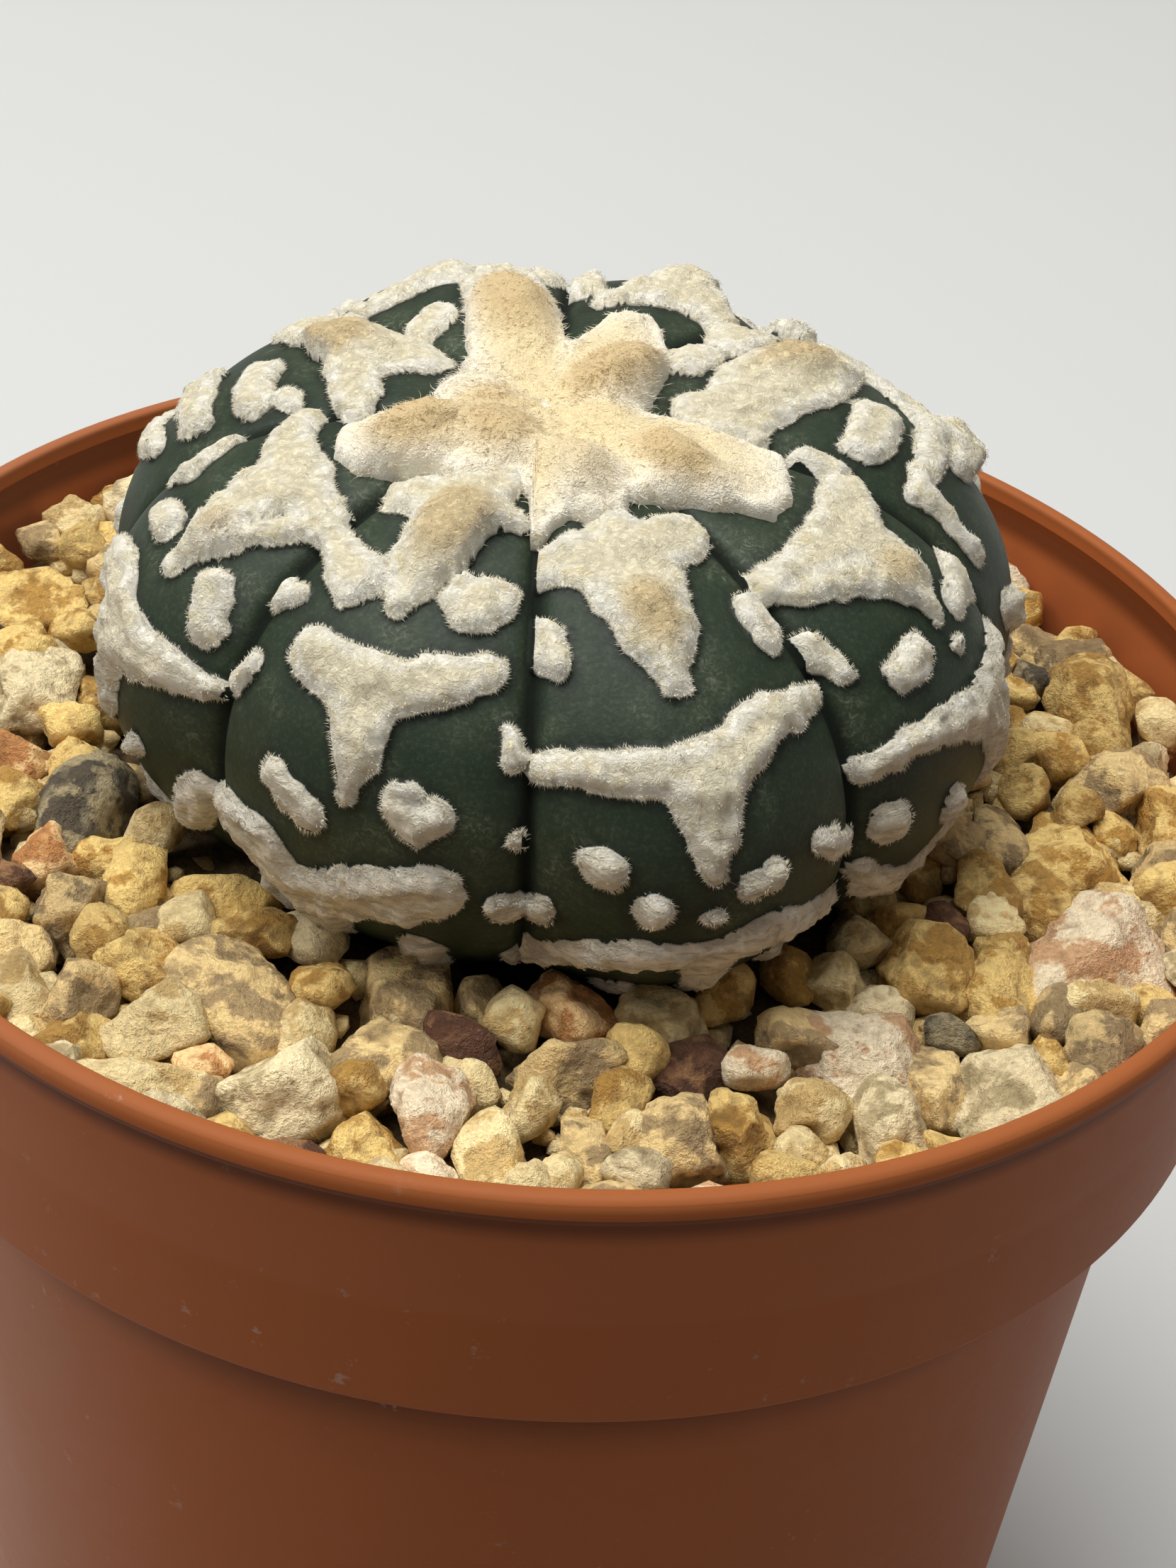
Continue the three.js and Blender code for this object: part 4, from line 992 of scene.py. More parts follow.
@dataclass(frozen=True)
class PlantWool:
    """Finish of loose plant hairs and the crown's wool: dry, dull cream, tan on the areoles.

    Args:
        name: the material's name.
        cream: its palest colour.
        shade: its colour in the depth.
        tan: its colour on the areoles.
        speck: the colour of the grains caught in it.
        relief: how strongly its fibres stand out.
    """

    name: str
    cream: str = "#fff9e4"
    shade: str = "#e8d6a4"
    tan: str = "#d6bb88"
    speck: str = "#8a5f38"
    relief: float = 0.15
    clump_size: float = 1.1
    grain_size: float = 0.5
    fibre_size: float = 0.2

    def material(self) -> bpy.types.Material:
        """Builds it: cream to shade by clumps and by the tone of each hair, tan by its layer.

        Returns:
            The material.
        """
        material, add = new_material(self.name)
        place = add("TexCoord", output="Object")
        tan, tone = (add("Attribute", output="Fac", attribute_name=key) for key in ("tan", "tone"))
        clumps = add("TexNoise", place, per_metre(self.clump_size), 4.0, 0.65)
        clump = add("MapRange", clumps, 0.4, 0.7, 0.0, 0.5)
        depth = add("Math", tone, clump, operation="MAXIMUM")
        areole = add("MapRange", tan, 0.05, 0.9, 0.0, 0.95, interpolation_type="SMOOTHSTEP")
        # brown grains caught in the wool
        grains = add("TexNoise", place, per_metre(self.grain_size), 1.0)
        grain = add("MapRange", grains, 0.76, 0.8, 0.0, 0.7)
        colour = linear(self.cream)
        for share, tint in ((depth, self.shade), (areole, self.tan), (grain, self.speck)):
            colour = add("Mix", share, colour, linear(tint), data_type="RGBA")
        fibres = add("TexNoise", place, per_metre(self.fibre_size), 4.0, named={"Distortion": 1.5})
        bump = add("Bump", named={"Height": fibres, "Strength": self.relief, "Distance": 0.0002})
        add("OutputMaterial", add("BsdfPrincipled", named={
            "Base Color": colour, "Roughness": 0.92, "IOR": 1.4, "Sheen Weight": 0.25, "Normal": bump}))
        return material


@dataclass(frozen=True)
class MineralGrit:
    """Finish of one kind of stone: broken mineral grit, washed, dry and a little glassy.

    Args:
        base: the mineral's main colour.
        patch: iron stain or feldspar patches on it.
        speck: small dark or pale grains in it.
        patch_share: how much of it the patches cover, from 0 to 1.
        gloss: roughness of its clean faces.
        glow: how much light passes into it, as in quartz.
    """

    base: str
    patch: str
    speck: str
    patch_share: float
    gloss: float
    glow: float
    patch_size: float = 2.7
    grain_size: float = 0.38

    def material(self, name: str) -> bpy.types.Material:
        """Builds it: patches, grains, rubbed edges and dusty pits, all shifted stone by stone.

        Args:
            name: the material's name.

        Returns:
            The material.
        """
        material, add = new_material(name)
        tone, wear = (add("Attribute", output="Fac", attribute_name=key) for key in ("tone", "wear"))
        place = add("VectorMath", add("TexCoord", output="Object"), tone, operation="ADD")
        stains = add("TexNoise", place, per_metre(self.patch_size), 5.0, 0.62)
        edge = 0.61 - 0.24 * self.patch_share
        stain = add("MapRange", stains, edge, edge + 0.06)
        stained = add("Mix", stain, linear(self.base), linear(self.patch), data_type="RGBA")
        # bright and dark grains a third of a millimetre wide, as in broken granite
        grains = add("TexNoise", place, per_metre(self.grain_size), 4.0, 0.75)
        grain = add("MapRange", grains, 0.32, 0.68, 0.76, 1.25)
        colour = add("VectorMath", stained, grain, operation="SCALE")
        # broken edges are rubbed pale, and pits keep brown dust
        rubbed = add("MapRange", wear, 0.6, 1.0, 0.0, 0.55)
        pitted = add("MapRange", wear, 0.38, 0.06, 0.0, 0.6)
        for share, tint in ((rubbed, self.patch), (pitted, self.speck)):
            colour = add("Mix", share, colour, linear(tint), data_type="RGBA")
        fade = add("MapRange", tone, 0.0, 1.0, 0.84, 1.28)
        colour = add("VectorMath", colour, fade, operation="SCALE")
        rough = add("MapRange", stain, 0.0, 1.0, self.gloss, min(self.gloss + 0.3, 0.95))
        height = add("Math", grains, stains, operation="ADD")
        bump = add("Bump", named={"Height": height, "Strength": 1.0, "Distance": 0.0005})
        add("OutputMaterial", add("BsdfPrincipled", named={
            "Base Color": colour, "Roughness": rough, "IOR": 1.54, "Normal": bump,
            "Subsurface Weight": self.glow, "Subsurface Radius": (1.0, 0.8, 0.55),
            "Subsurface Scale": 0.0011}))
        return material


class StoneKind(Enum):
    """The minerals in the grit, each with its name, its share among the seeded stones and its finish."""

    YELLOW = ("yellow_quartz", 0.44, MineralGrit("#c29448", "#f6d080", "#7c5a2a", 0.66, 0.4, 0.1))
    GREY = ("grey_quartz", 0.17, MineralGrit("#ae946a", "#f2d090", "#6f5c3c", 0.56, 0.26, 0.15))
    CREAM = ("cream_feldspar", 0.20, MineralGrit("#d8b676", "#fce2a6", "#a5834a", 0.68, 0.55, 0.06))
    WHITE = ("white_quartz", 0.07, MineralGrit("#c0ac80", "#f8e2b2", "#857149", 0.7, 0.34, 0.1))
    ORANGE = ("orange_sandstone", 0.04, MineralGrit("#c98a4e", "#fbd092", "#87582e", 0.55, 0.6, 0.0))
    PINK = ("pink_feldspar", 0.04, MineralGrit("#dcae80", "#ffeac4", "#9c7046", 0.68, 0.55, 0.03))
    RED = ("red_brown_stone", 0.02, MineralGrit("#5e3a24", "#9a7048", "#3e2618", 0.45, 0.55, 0.0))
    DARK = ("dark_basalt", 0.02, MineralGrit("#514736", "#a0906c", "#bcae88", 0.55, 0.7, 0.0))

    def __init__(self, label: str, share: float, finish: MineralGrit) -> None:
        """Names the three parts of a kind."""
        self.label, self.share, self.finish = label, share, finish


@dataclass(frozen=True)
class LooseSoil:
    """Finish of the potting mix and of the dust between stones: dark, dry, crumbly.

    Args:
        name: the material's name.
        base: its colour in the depth.
        pale: its crumbs' colour.
    """

    name: str
    base: str
    pale: str
    crumb_size: float = 0.9

    def material(self) -> bpy.types.Material:
        """Builds it: crumbs under a millimetre wide in two tones with a coarse bump.

        Returns:
            The material.
        """
        material, add = new_material(self.name)
        crumbs = add("TexNoise", add("TexCoord", output="Object"), per_metre(self.crumb_size), 6.0, 0.7)
        share = add("MapRange", crumbs, 0.35, 0.7)
        colour = add("Mix", share, linear(self.base), linear(self.pale), data_type="RGBA")
        bump = add("Bump", named={"Height": crumbs, "Strength": 1.0, "Distance": 0.0008})
        shader = add("BsdfPrincipled", named={"Base Color": colour, "Roughness": 0.95, "Normal": bump})
        add("OutputMaterial", shader)
        return material


@dataclass
class Pot:
    """The round nursery pot: lip bead, deep collar, stepped shoulder, foot ring, drain holes."""

    sides: int = 192
    steps: int = 4
    centre_hole: float = 4.0
    outer_hole: float = 2.6
    hole_circle: float = 20.0
    outer_holes: int = 6
    cutter_sides: int = 32
    cutter_foot: float = -1.0
    cutter_length: float = 6.0
    crease_angle: float = 50.0
    finish: MouldedPolypropylene = MouldedPolypropylene()

    def profile(self) -> Array:
        """The wall's outline from the floor's underside round the lip to the floor's top.

        Each corner is a radius, a height and a rounding.

        Returns:
            (n, 2) radii and heights.
        """
        return rounded([
            (0, 1.6, 0), (28.0, 1.6, 0.3), (28.0, 0, 0.3), (30.2, 0, 0.35), (FOOT_RADIUS, 0.8, 0.3),
            (SHOULDER_RADIUS, SHOULDER_Z, 0.5), (COLLAR_FOOT_RADIUS, SHOULDER_Z, 0.35),
            (36.86, 66.5, 0.12), (37.3, 66.65, 0.15), (RIM_RADIUS, 67.0, 0.2), (RIM_RADIUS, 67.6, 0.3),
            (37.15, POT_HEIGHT, 0.3), (RIM_RADIUS - WALL, POT_HEIGHT, 0.3),
            (COLLAR_FOOT_RADIUS - WALL, SHOULDER_Z + WALL, 0.4),
            (SHOULDER_RADIUS - WALL, SHOULDER_Z + WALL, 0.4), (FOOT_RADIUS - WALL, FLOOR_TOP, 0.8),
            (0, FLOOR_TOP, 0),
        ], self.steps)

    def drain_cutters(self) -> bpy.types.Object:
        """Cylinders through the floor, one at the centre and the others on a circle.

        Returns:
            One piece with all of them.
        """
        places = [(0.0, 0.0, self.centre_hole)]
        for number in range(self.outer_holes):
            turn = FULL_TURN * number / self.outer_holes
            x, y = self.hole_circle * math.cos(turn), self.hole_circle * math.sin(turn)
            places.append((x, y, self.outer_hole))
        around, ends = turns(self.cutter_sides), np.arange(self.cutter_sides)
        points, faces, caps = [], [], []
        for number, (x, y, radius) in enumerate(places):
            base = number * 2 * self.cutter_sides
            foot = np.full(self.cutter_sides, self.cutter_foot)
            low = np.stack([x + radius * np.cos(around), y + radius * np.sin(around), foot], axis=1)
            points.append(np.vstack([low, low + [0, 0, self.cutter_length]]))
            faces.append(base + grid_faces(2, self.cutter_sides)[:, ::-1])
            caps.extend([base + ends[::-1], base + self.cutter_sides + ends])
        return make_piece("drain_cutters", np.vstack(points), [*faces, np.array(caps)])

    def build(self) -> list[bpy.types.Object]:
        """Turns the wall, cuts the drain holes and dresses it.

        Returns:
            The shell.
        """
        blank = lathe("pot_shell", self.profile(), self.sides)
        cutters = self.drain_cutters()
        cut = blank.modifiers.new("drain_holes", "BOOLEAN")
        cut.operation, cut.solver, cut.object = "DIFFERENCE", "EXACT", cutters
        bpy.context.view_layer.update()
        evaluated = blank.evaluated_get(bpy.context.evaluated_depsgraph_get())
        mesh = bpy.data.meshes.new_from_object(evaluated)
        blank.modifiers.clear()
        blank.data = mesh
        bpy.data.objects.remove(cutters)
        mesh.shade_smooth()
        mesh.set_sharp_from_angle(angle=math.radians(self.crease_angle))
        return [dress(blank, self.finish.material(), "pot_plastic", "pot")]


@dataclass
class Filling:
    """The potting mix and the taproot in it, which keep the frame's own shapes."""

    mix: LooseSoil = LooseSoil("potting_mix_crumbs", "#2a1f17", "#5a4632")
    bark: LooseSoil = LooseSoil("dry_root_bark", "#8a6a43", "#c2a472")

    def build(self) -> list[bpy.types.Object]:
        """Gives both of the frame's nodes their materials.

        Returns:
            The two nodes' objects.
        """
        made = []
        for name, finish in (("potting_mix", self.mix), ("taproot", self.bark)):
            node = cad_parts[name]
            node.data.materials.clear()
            node.data.materials.append(finish.material())
            made.append(node)
        return made


# The larger stones that show: x, y, half width for the packing rule, half sizes along x and y,
# and kind.
KNOWN_STONES = [
    (-29, 10, 3, 2.8, 3.2, "YELLOW"), (-27, 1, 2.3, 2.0, 3.2, "WHITE"),
    (-24.9, -1.5, 1.5, 1.5, 1.5, "YELLOW"), (-27.2, -4, 1.8, 1.8, 2.0, "ORANGE"),
    (-22.8, -8.4, 2.3, 2.1, 3.6, "DARK"), (-26.4, -8.4, 1.7, 1.6, 2.0, "YELLOW"),
    (-23.8, -12.4, 1.9, 1.8, 2.5, "ORANGE"), (-19.2, -14.2, 1.7, 1.5, 2.2, "YELLOW"),
    (-21.9, -17, 2.1, 2.0, 2.3, "GREY"), (-16.1, -16.6, 1.5, 1.4, 1.9, "CREAM"),
    (-18.2, -17.5, 1.5, 1.6, 1.5, "GREY"), (-17.7, -20.5, 2.2, 2.3, 1.9, "YELLOW"),
    (-13.3, -21.3, 3, 3.3, 3.5, "GREY"), (-16.6, -24.4, 1.8, 2.0, 2.0, "CREAM"),
    (-22.9, -22.4, 1.6, 1.4, 2.3, "CREAM"), (-20.4, -22.8, 1.7, 1.6, 2.4, "GREY"),
    (-16.8, -28, 2.4, 3.3, 1.7, "CREAM"), (-14, -26.6, 1, 1.1, 1.1, "ORANGE"),
    (-10.6, -28, 3, 3.0, 3.0, "WHITE"), (-9.8, -23.2, 1.5, 1.4, 1.8, "CREAM"),
    (-9.6, -20.2, 1.4, 1.3, 1.8, "YELLOW"), (-6.2, -24.6, 2.2, 2.2, 2.9, "GREY"),
    (-3.8, -28, 1.8, 1.7, 2.6, "PINK"), (-6.6, -30.8, 1.8, 1.8, 2.0, "YELLOW"),
    (-1, -30.6, 1.5, 1.5, 2.2, "CREAM"), (-3.6, -31.9, 1.1, 1.2, 1.1, "PINK"),
    (0.5, -27, 1.3, 1.3, 1.4, "CREAM"), (-2.9, -23.2, 1.9, 2.0, 1.5, "RED"),
    (2, -24.2, 2, 2.3, 2.0, "GREY"), (4.4, -25.7, 1.6, 1.5, 1.6, "YELLOW"),
    (5, -22.8, 1.2, 1.2, 1.3, "YELLOW"), (7.5, -23.4, 1.9, 1.6, 2.2, "RED"),
    (2.9, -29.1, 1.4, 1.4, 2.0, "GREY"), (4.8, -28.3, 1.2, 1.1, 1.4, "CREAM"),
    (2, -31.5, 1.2, 1.1, 1.5, "CREAM"), (5.3, -31.2, 1.3, 1.3, 1.2, "WHITE"),
    (7.4, -28.3, 2, 1.9, 2.3, "GREY"), (9.7, -26.8, 1.8, 1.8, 2.0, "YELLOW"),
    (8.6, -31.6, 1.4, 1.5, 1.2, "PINK"), (10.5, -23.2, 1.4, 1.3, 1.5, "PINK"),
    (12.7, -25.1, 1.6, 1.7, 1.6, "CREAM"), (12.5, -28.2, 1.3, 1.2, 1.7, "CREAM"),
    (14, -29.9, 1.5, 1.5, 1.4, "CREAM"), (12.3, -20.9, 1.7, 1.7, 1.5, "GREY"),
    (15, -20.8, 2.7, 2.6, 3.3, "PINK"), (16.2, -25.9, 2.1, 1.9, 2.6, "WHITE"),
    (18.8, -22.6, 1.8, 1.6, 2.4, "GREY"), (19.8, -18.9, 1.2, 1.4, 1.0, "DARK"),
    (22, -23.2, 3, 2.9, 3.0, "WHITE"), (18.8, -14.8, 2.1, 2.0, 2.5, "YELLOW"),
    (22.4, -15.5, 2.2, 2.0, 2.6, "YELLOW"), (26.9, -11.8, 4, 4.0, 4.2, "PINK"),
    (27, -3.6, 2.9, 2.9, 3.3, "YELLOW"), (26.9, -19.4, 2.1, 2.1, 2.3, "GREY"),
    (30, 3, 2.7, 2.6, 2.8, "GREY"), (29.6, 10, 3, 2.9, 3.4, "YELLOW"), (23.6, -2.6, 1.6, 1.5, 2.6, "GREY"),
    (22, -8, 1.7, 1.7, 2.1, "YELLOW"), (19.6, -11, 1.4, 1.4, 1.6, "RED"),
    (31.8, -3.2, 1.6, 1.6, 1.8, "GREY"),
]


@dataclass
class Stone:
    """One stone of the grit, with its measures in millimetres.

    Args:
        x: where it lies.
        y: where it lies.
        size: its half width for the packing rule.
        half: its half sizes along x and y.
        kind: its mineral.
        known: whether the photo shows it, so that it keeps the turn that its half sizes have.
        rise: how far it stands above the grit's level.
        drop: how far it sinks beside the plant.
    """

    x: float
    y: float
    size: float
    half: tuple[float, float] | None = None
    kind: StoneKind | None = None
    known: bool = False
    rise: float = 0.0
    drop: float = 0.0


@dataclass
class Grit:
    """The stone top dressing: broken stones in a ring round the plant, with chips in the cracks.

    Stones and chips within a few millimetres of the plant sink, so that they slip under it.
    """

    form: PlantForm
    inner_radius: float = 17.5
    outer_radius: float = 35.0
    wall_radius: float = 35.9
    plant_radius: float = 18.5
    seed: int = 7
    tries: int = 2600
    smallest: float = 1.2
    largest: float = 2.6
    packing: float = 0.8
    fine_from: float = 1.55
    coarse_level: int = 3
    fine_level: int = 4
    planes: int = 12
    plane_reach: tuple[float, float] = (0.6, 1.0)
    sharpness: tuple[float, float] = (60, 190)
    roundness: float = 1.14
    flatness: float = 0.86
    sunk_share: float = 0.8
    tilt: tuple[float, float] = (-0.5, 0.5)
    noise_gap: float = 7.3
    chips: int = 900
    chip_level: int = 1
    chip_radius: float = 34.9
    chip_size: tuple[float, float] = (0.45, 0.95)
    chip_rise: tuple[float, float] = (-1.9, -0.5)
    bed_columns: int = 240
    bed_rings: int = 40
    bed_inner: float = 16.0
    bed_outer: float = 34.95
    bed_depth: float = 2.5
    bed_crumbs: float = 0.45
    dust: LooseSoil = LooseSoil("grit_dust", "#4b3a24", "#8d7347")

    def off_plant(self, x: float, y: float) -> float:
        """How far a place lies from the plant's axis."""
        return math.hypot(x - self.form.centre[0], y - self.form.centre[1])

    def places(self) -> list[Stone]:
        """The known stones, then seeded ones in the gaps, by the rule that made the frame's relief.

        Returns:
            The stones, with their rise.
        """
        random = seeded(self.seed)
        stones = [
            Stone(x, y, size, (wide, long), StoneKind[kind], known=True)
            for x, y, size, wide, long, kind in KNOWN_STONES
        ]
        for attempt in range(self.tries):
            spread = (self.largest - self.smallest) * next(random) ** 2
            size = self.smallest + spread * (1 - attempt / self.tries)
            turn = FULL_TURN * next(random)
            radius = self.inner_radius + (self.outer_radius - self.inner_radius) * math.sqrt(next(random))
            x, y = radius * math.cos(turn), radius * math.sin(turn)
            if all(math.hypot(s.x - x, s.y - y) > self.packing * (s.size + size) for s in stones):
                stones.append(Stone(x, y, size))
        for stone in stones:
            stone.rise = -0.3 + 1.1 * next(random) + 0.25 * (stone.size - self.smallest)
            # the frame's rule draws two more numbers for each stone
            next(random)
            next(random)
        return stones

    def choose(self, stones: list[Stone], random: np.random.Generator) -> list[Stone]:
        """Gives the seeded stones a kind and half sizes, and keeps each clear of wall and plant.

        Args:
            stones: all stones.
            random: the seeded generator.

        Returns:
            Those that don't lie under the plant.
        """
        kinds = list(StoneKind)
        shares = np.array([kind.share for kind in kinds])
        kept = []
        for stone in stones:
            if stone.kind is None:
                stone.kind = kinds[random.choice(len(kinds), p=shares / shares.sum())]
                wide, long = random.uniform(0.95, 1.25), random.uniform(0.95, 1.45)
                stone.half = (stone.size * wide, stone.size * long)
            radius = math.hypot(stone.x, stone.y)
            limit = self.wall_radius - 0.92 * max(stone.half)
            if radius > limit:
                stone.x *= limit / radius
                stone.y *= limit / radius
            off = self.off_plant(stone.x, stone.y)
            if off > self.plant_radius:
                stone.drop = max(0.0, 1.5 - 0.55 * (off - self.plant_radius))
                kept.append(stone)
        return kept

    def cut_balls(self, ways: Array, count: int, random: np.random.Generator) -> tuple[Array, Array]:
        """Balls cut by random planes.

        Along direction d a ball's radius is the smooth minimum, by a power sum, of each plane's
        reach over its cosine.

        Args:
            ways: (n, 3) directions.
            count: how many balls.
            random: the seeded generator.

        Returns:
            (count, n) radii, and how near each point is to an edge between planes, from 0 to 1.
        """
        normals = unit(random.normal(size=(count, self.planes, 3)))
        reach = random.uniform(*self.plane_reach, (count, self.planes))
        sharp = random.uniform(*self.sharpness, count)[:, None]
        facing = np.clip(np.einsum("vk,spk->svp", ways, normals), 0, None) / reach[:, None, :]
        total = (facing ** sharp[:, :, None]).sum(axis=2) + (1 / self.roundness) ** sharp
        ranked = np.sort(facing, axis=2)
        nearness = ranked[..., -2] / np.maximum(ranked[..., -1], 1e-6)
        return total ** (-1 / sharp), np.clip((nearness - 0.9) / 0.1, 0, 1)

    def stones(self, group: list[Stone], level: int, random: np.random.Generator) -> tuple[Array, ...]:
        """Shapes a group of stones.

        Each is a cut ball stretched to its half sizes, and ledges, pits and grains of three
        sizes of noise roughen it.

        Args:
            group: the stones.
            level: how finely the ball is divided.
            random: the seeded generator.

        Returns:
            Points, triangles, the tone of each point, and how worn rather than pitted it is.
        """
        ball = bmesh.new()
        bmesh.ops.create_icosphere(ball, subdivisions=level, radius=1)
        ways = np.array([v.co[:] for v in ball.verts])
        faces = np.array([[v.index for v in f.verts] for f in ball.faces])
        ball.free()
        count, corners = len(group), len(ways)
        radius, ridge = self.cut_balls(ways, count, random)
        half = np.array([stone.half for stone in group])
        width = half.min(axis=1)
        tall = self.flatness * width * random.uniform(0.85, 1.1, count)
        points = ways[None] * radius[..., None] * (np.column_stack([half, tall]) * self.roundness)[:, None]
        tops = np.array([GRIT_LEVEL + GRIT_SLOPE * s.x + s.rise - s.drop for s in group])
        centre = np.array([(s.x, s.y, top - self.sunk_share * t) for s, top, t in zip(group, tops, tall)])
        known = [stone.known for stone in group]
        turn = np.where(known, 0.0, random.uniform(0, math.pi, count))[:, None]
        tilt = np.where(known, 0.0, random.uniform(*self.tilt, count))[:, None]
        x, z = turned(points[..., 0], points[..., 2], tilt)
        x, y = turned(x, points[..., 1], turn)
        placed = np.stack([x, y, z], axis=2)
        way = unit(placed).reshape(-1, 3)
        flat = (placed + centre[:, None]).reshape(-1, 3)
        apart = flat + np.repeat(np.arange(count) * self.noise_gap, corners)[:, None]
        size = np.repeat(np.clip(width, 0.4, 2.2), corners)
        pits = np.clip(1 - 2 * np.abs(value_noise(apart, 1.15, 11)), 0, 1) ** 2
        grains = value_noise(apart, 0.42, 12)
        ledges = np.round(2.5 * value_noise(apart, 1.5, 13)) / 2.5
        rough = 0.11 * ledges - 0.08 * pits + 0.065 * grains
        wear = 0.5 + 0.42 * ridge.ravel() - 0.42 * pits + 0.14 * grains
        triangles = (faces[None] + corners * np.arange(count)[:, None, None]).reshape(-1, 3)
        tone = np.repeat(random.uniform(0, 1, count), corners)
        return flat + way * (rough * size)[:, None], triangles, tone, wear

    def chip_places(self, random: np.random.Generator) -> list[Stone]:
        """Chips under a millimetre wide, scattered low in the cracks.

        Args:
            random: the seeded generator.

        Returns:
            The chips.
        """
        chips = []
        for _ in range(self.chips):
            turn = FULL_TURN * random.random()
            radius = math.sqrt(random.uniform(self.plant_radius**2, self.chip_radius**2))
            size = random.uniform(*self.chip_size)
            x, y = radius * math.cos(turn), radius * math.sin(turn)
            half = (size, size * random.uniform(1, 1.4))
            drop = max(0.0, 1.2 - 0.5 * (self.off_plant(x, y) - self.plant_radius))
            chips.append(Stone(x, y, size, half, rise=random.uniform(*self.chip_rise), drop=drop))
        return chips

    def bed(self) -> bpy.types.Object:
        """The settled dust and fines under the stones: a disc with a crumbly top.

        Its innermost ring dips to the base, because it is open in the middle for the root.

        Returns:
            The new piece.
        """
        radii = np.linspace(self.bed_inner, self.bed_outer, self.bed_rings)
        radius, angle = np.meshgrid(radii, turns(self.bed_columns), indexing="ij")
        flat = [radius * np.cos(angle), radius * np.sin(angle), np.zeros_like(radius)]
        top = np.stack(flat, axis=2).reshape(-1, 3)
        crumbs = self.bed_crumbs * fractal_noise(top, 1.7, 3, 21)
        top[:, 2] = GRIT_LEVEL - self.bed_depth + GRIT_SLOPE * top[:, 0] + crumbs
        low = top[-self.bed_columns :].copy()
        low[:, 2] = GRIT_BASE
        top[: self.bed_columns, 2] = GRIT_BASE + 0.1
        points = np.vstack([top, low, [[0, 0, GRIT_BASE + 0.1]], [[0, 0, GRIT_BASE]]])
        return make_piece("grit_fines", points, closed_grid(self.bed_rings + 1, self.bed_columns))

    def piece(
        self, name: str, finish: bpy.types.Material, parts: Sequence[tuple[Array, ...]]
    ) -> bpy.types.Object:
        """Joins shaped stones into one dressed piece.

        Args:
            name: the piece's name.
            finish: its material.
            parts: points, triangles, tones and wear of each group.

        Returns:
            The new piece.
        """
        points, faces, tone, wear = zip(*parts)
        starts = np.cumsum([0] + [len(part) for part in points])
        joined = np.vstack([part + start for part, start in zip(faces, starts)])
        layers = {"tone": np.concatenate(tone), "wear": np.concatenate(wear)}
        stones = make_piece(name, np.vstack(points), [joined], **layers)
        return dress(stones, finish, "mineral_grit", "grit_top_dressing")

    def build(self) -> list[bpy.types.Object]:
        """Makes the fines, the chips and one piece for each kind of stone.

        Returns:
            The new pieces.
        """
        random = np.random.default_rng(self.seed)
        kept = self.choose(self.places(), random)
        made = [dress(self.bed(), self.dust.material(), "mineral_grit", "grit_top_dressing")]
        chips = self.stones(self.chip_places(random), self.chip_level, random)
        made.append(self.piece("grit_chips", StoneKind.CREAM.finish.material("mixed_chips"), [chips]))
        for kind in StoneKind:
            mine = [stone for stone in kept if stone.kind is kind]
            large = [stone for stone in mine if min(stone.half) >= self.fine_from]
            small = [stone for stone in mine if min(stone.half) < self.fine_from]
            groups = ((large, self.fine_level), (small, self.coarse_level))
            parts = [self.stones(group, level, random) for group, level in groups if group]
            made.append(self.piece(f"grit_{kind.label}", kind.finish.material(kind.label), parts))
        return made


@dataclass(frozen=True)
class HairZone:
    """One kind of the felt's short hairs.

    Args:
        name: its piece's name.
        low: the felt distance from which it grows.
        high: the felt distance to which it grows.
        outward: how strongly it leans out over the felt's edge.
        drift: how strongly it leans in a direction of its own.
        fine: its share of the full hair width.
    """

    name: str
    low: float
    high: float
    outward: float
    drift: float
    fine: float


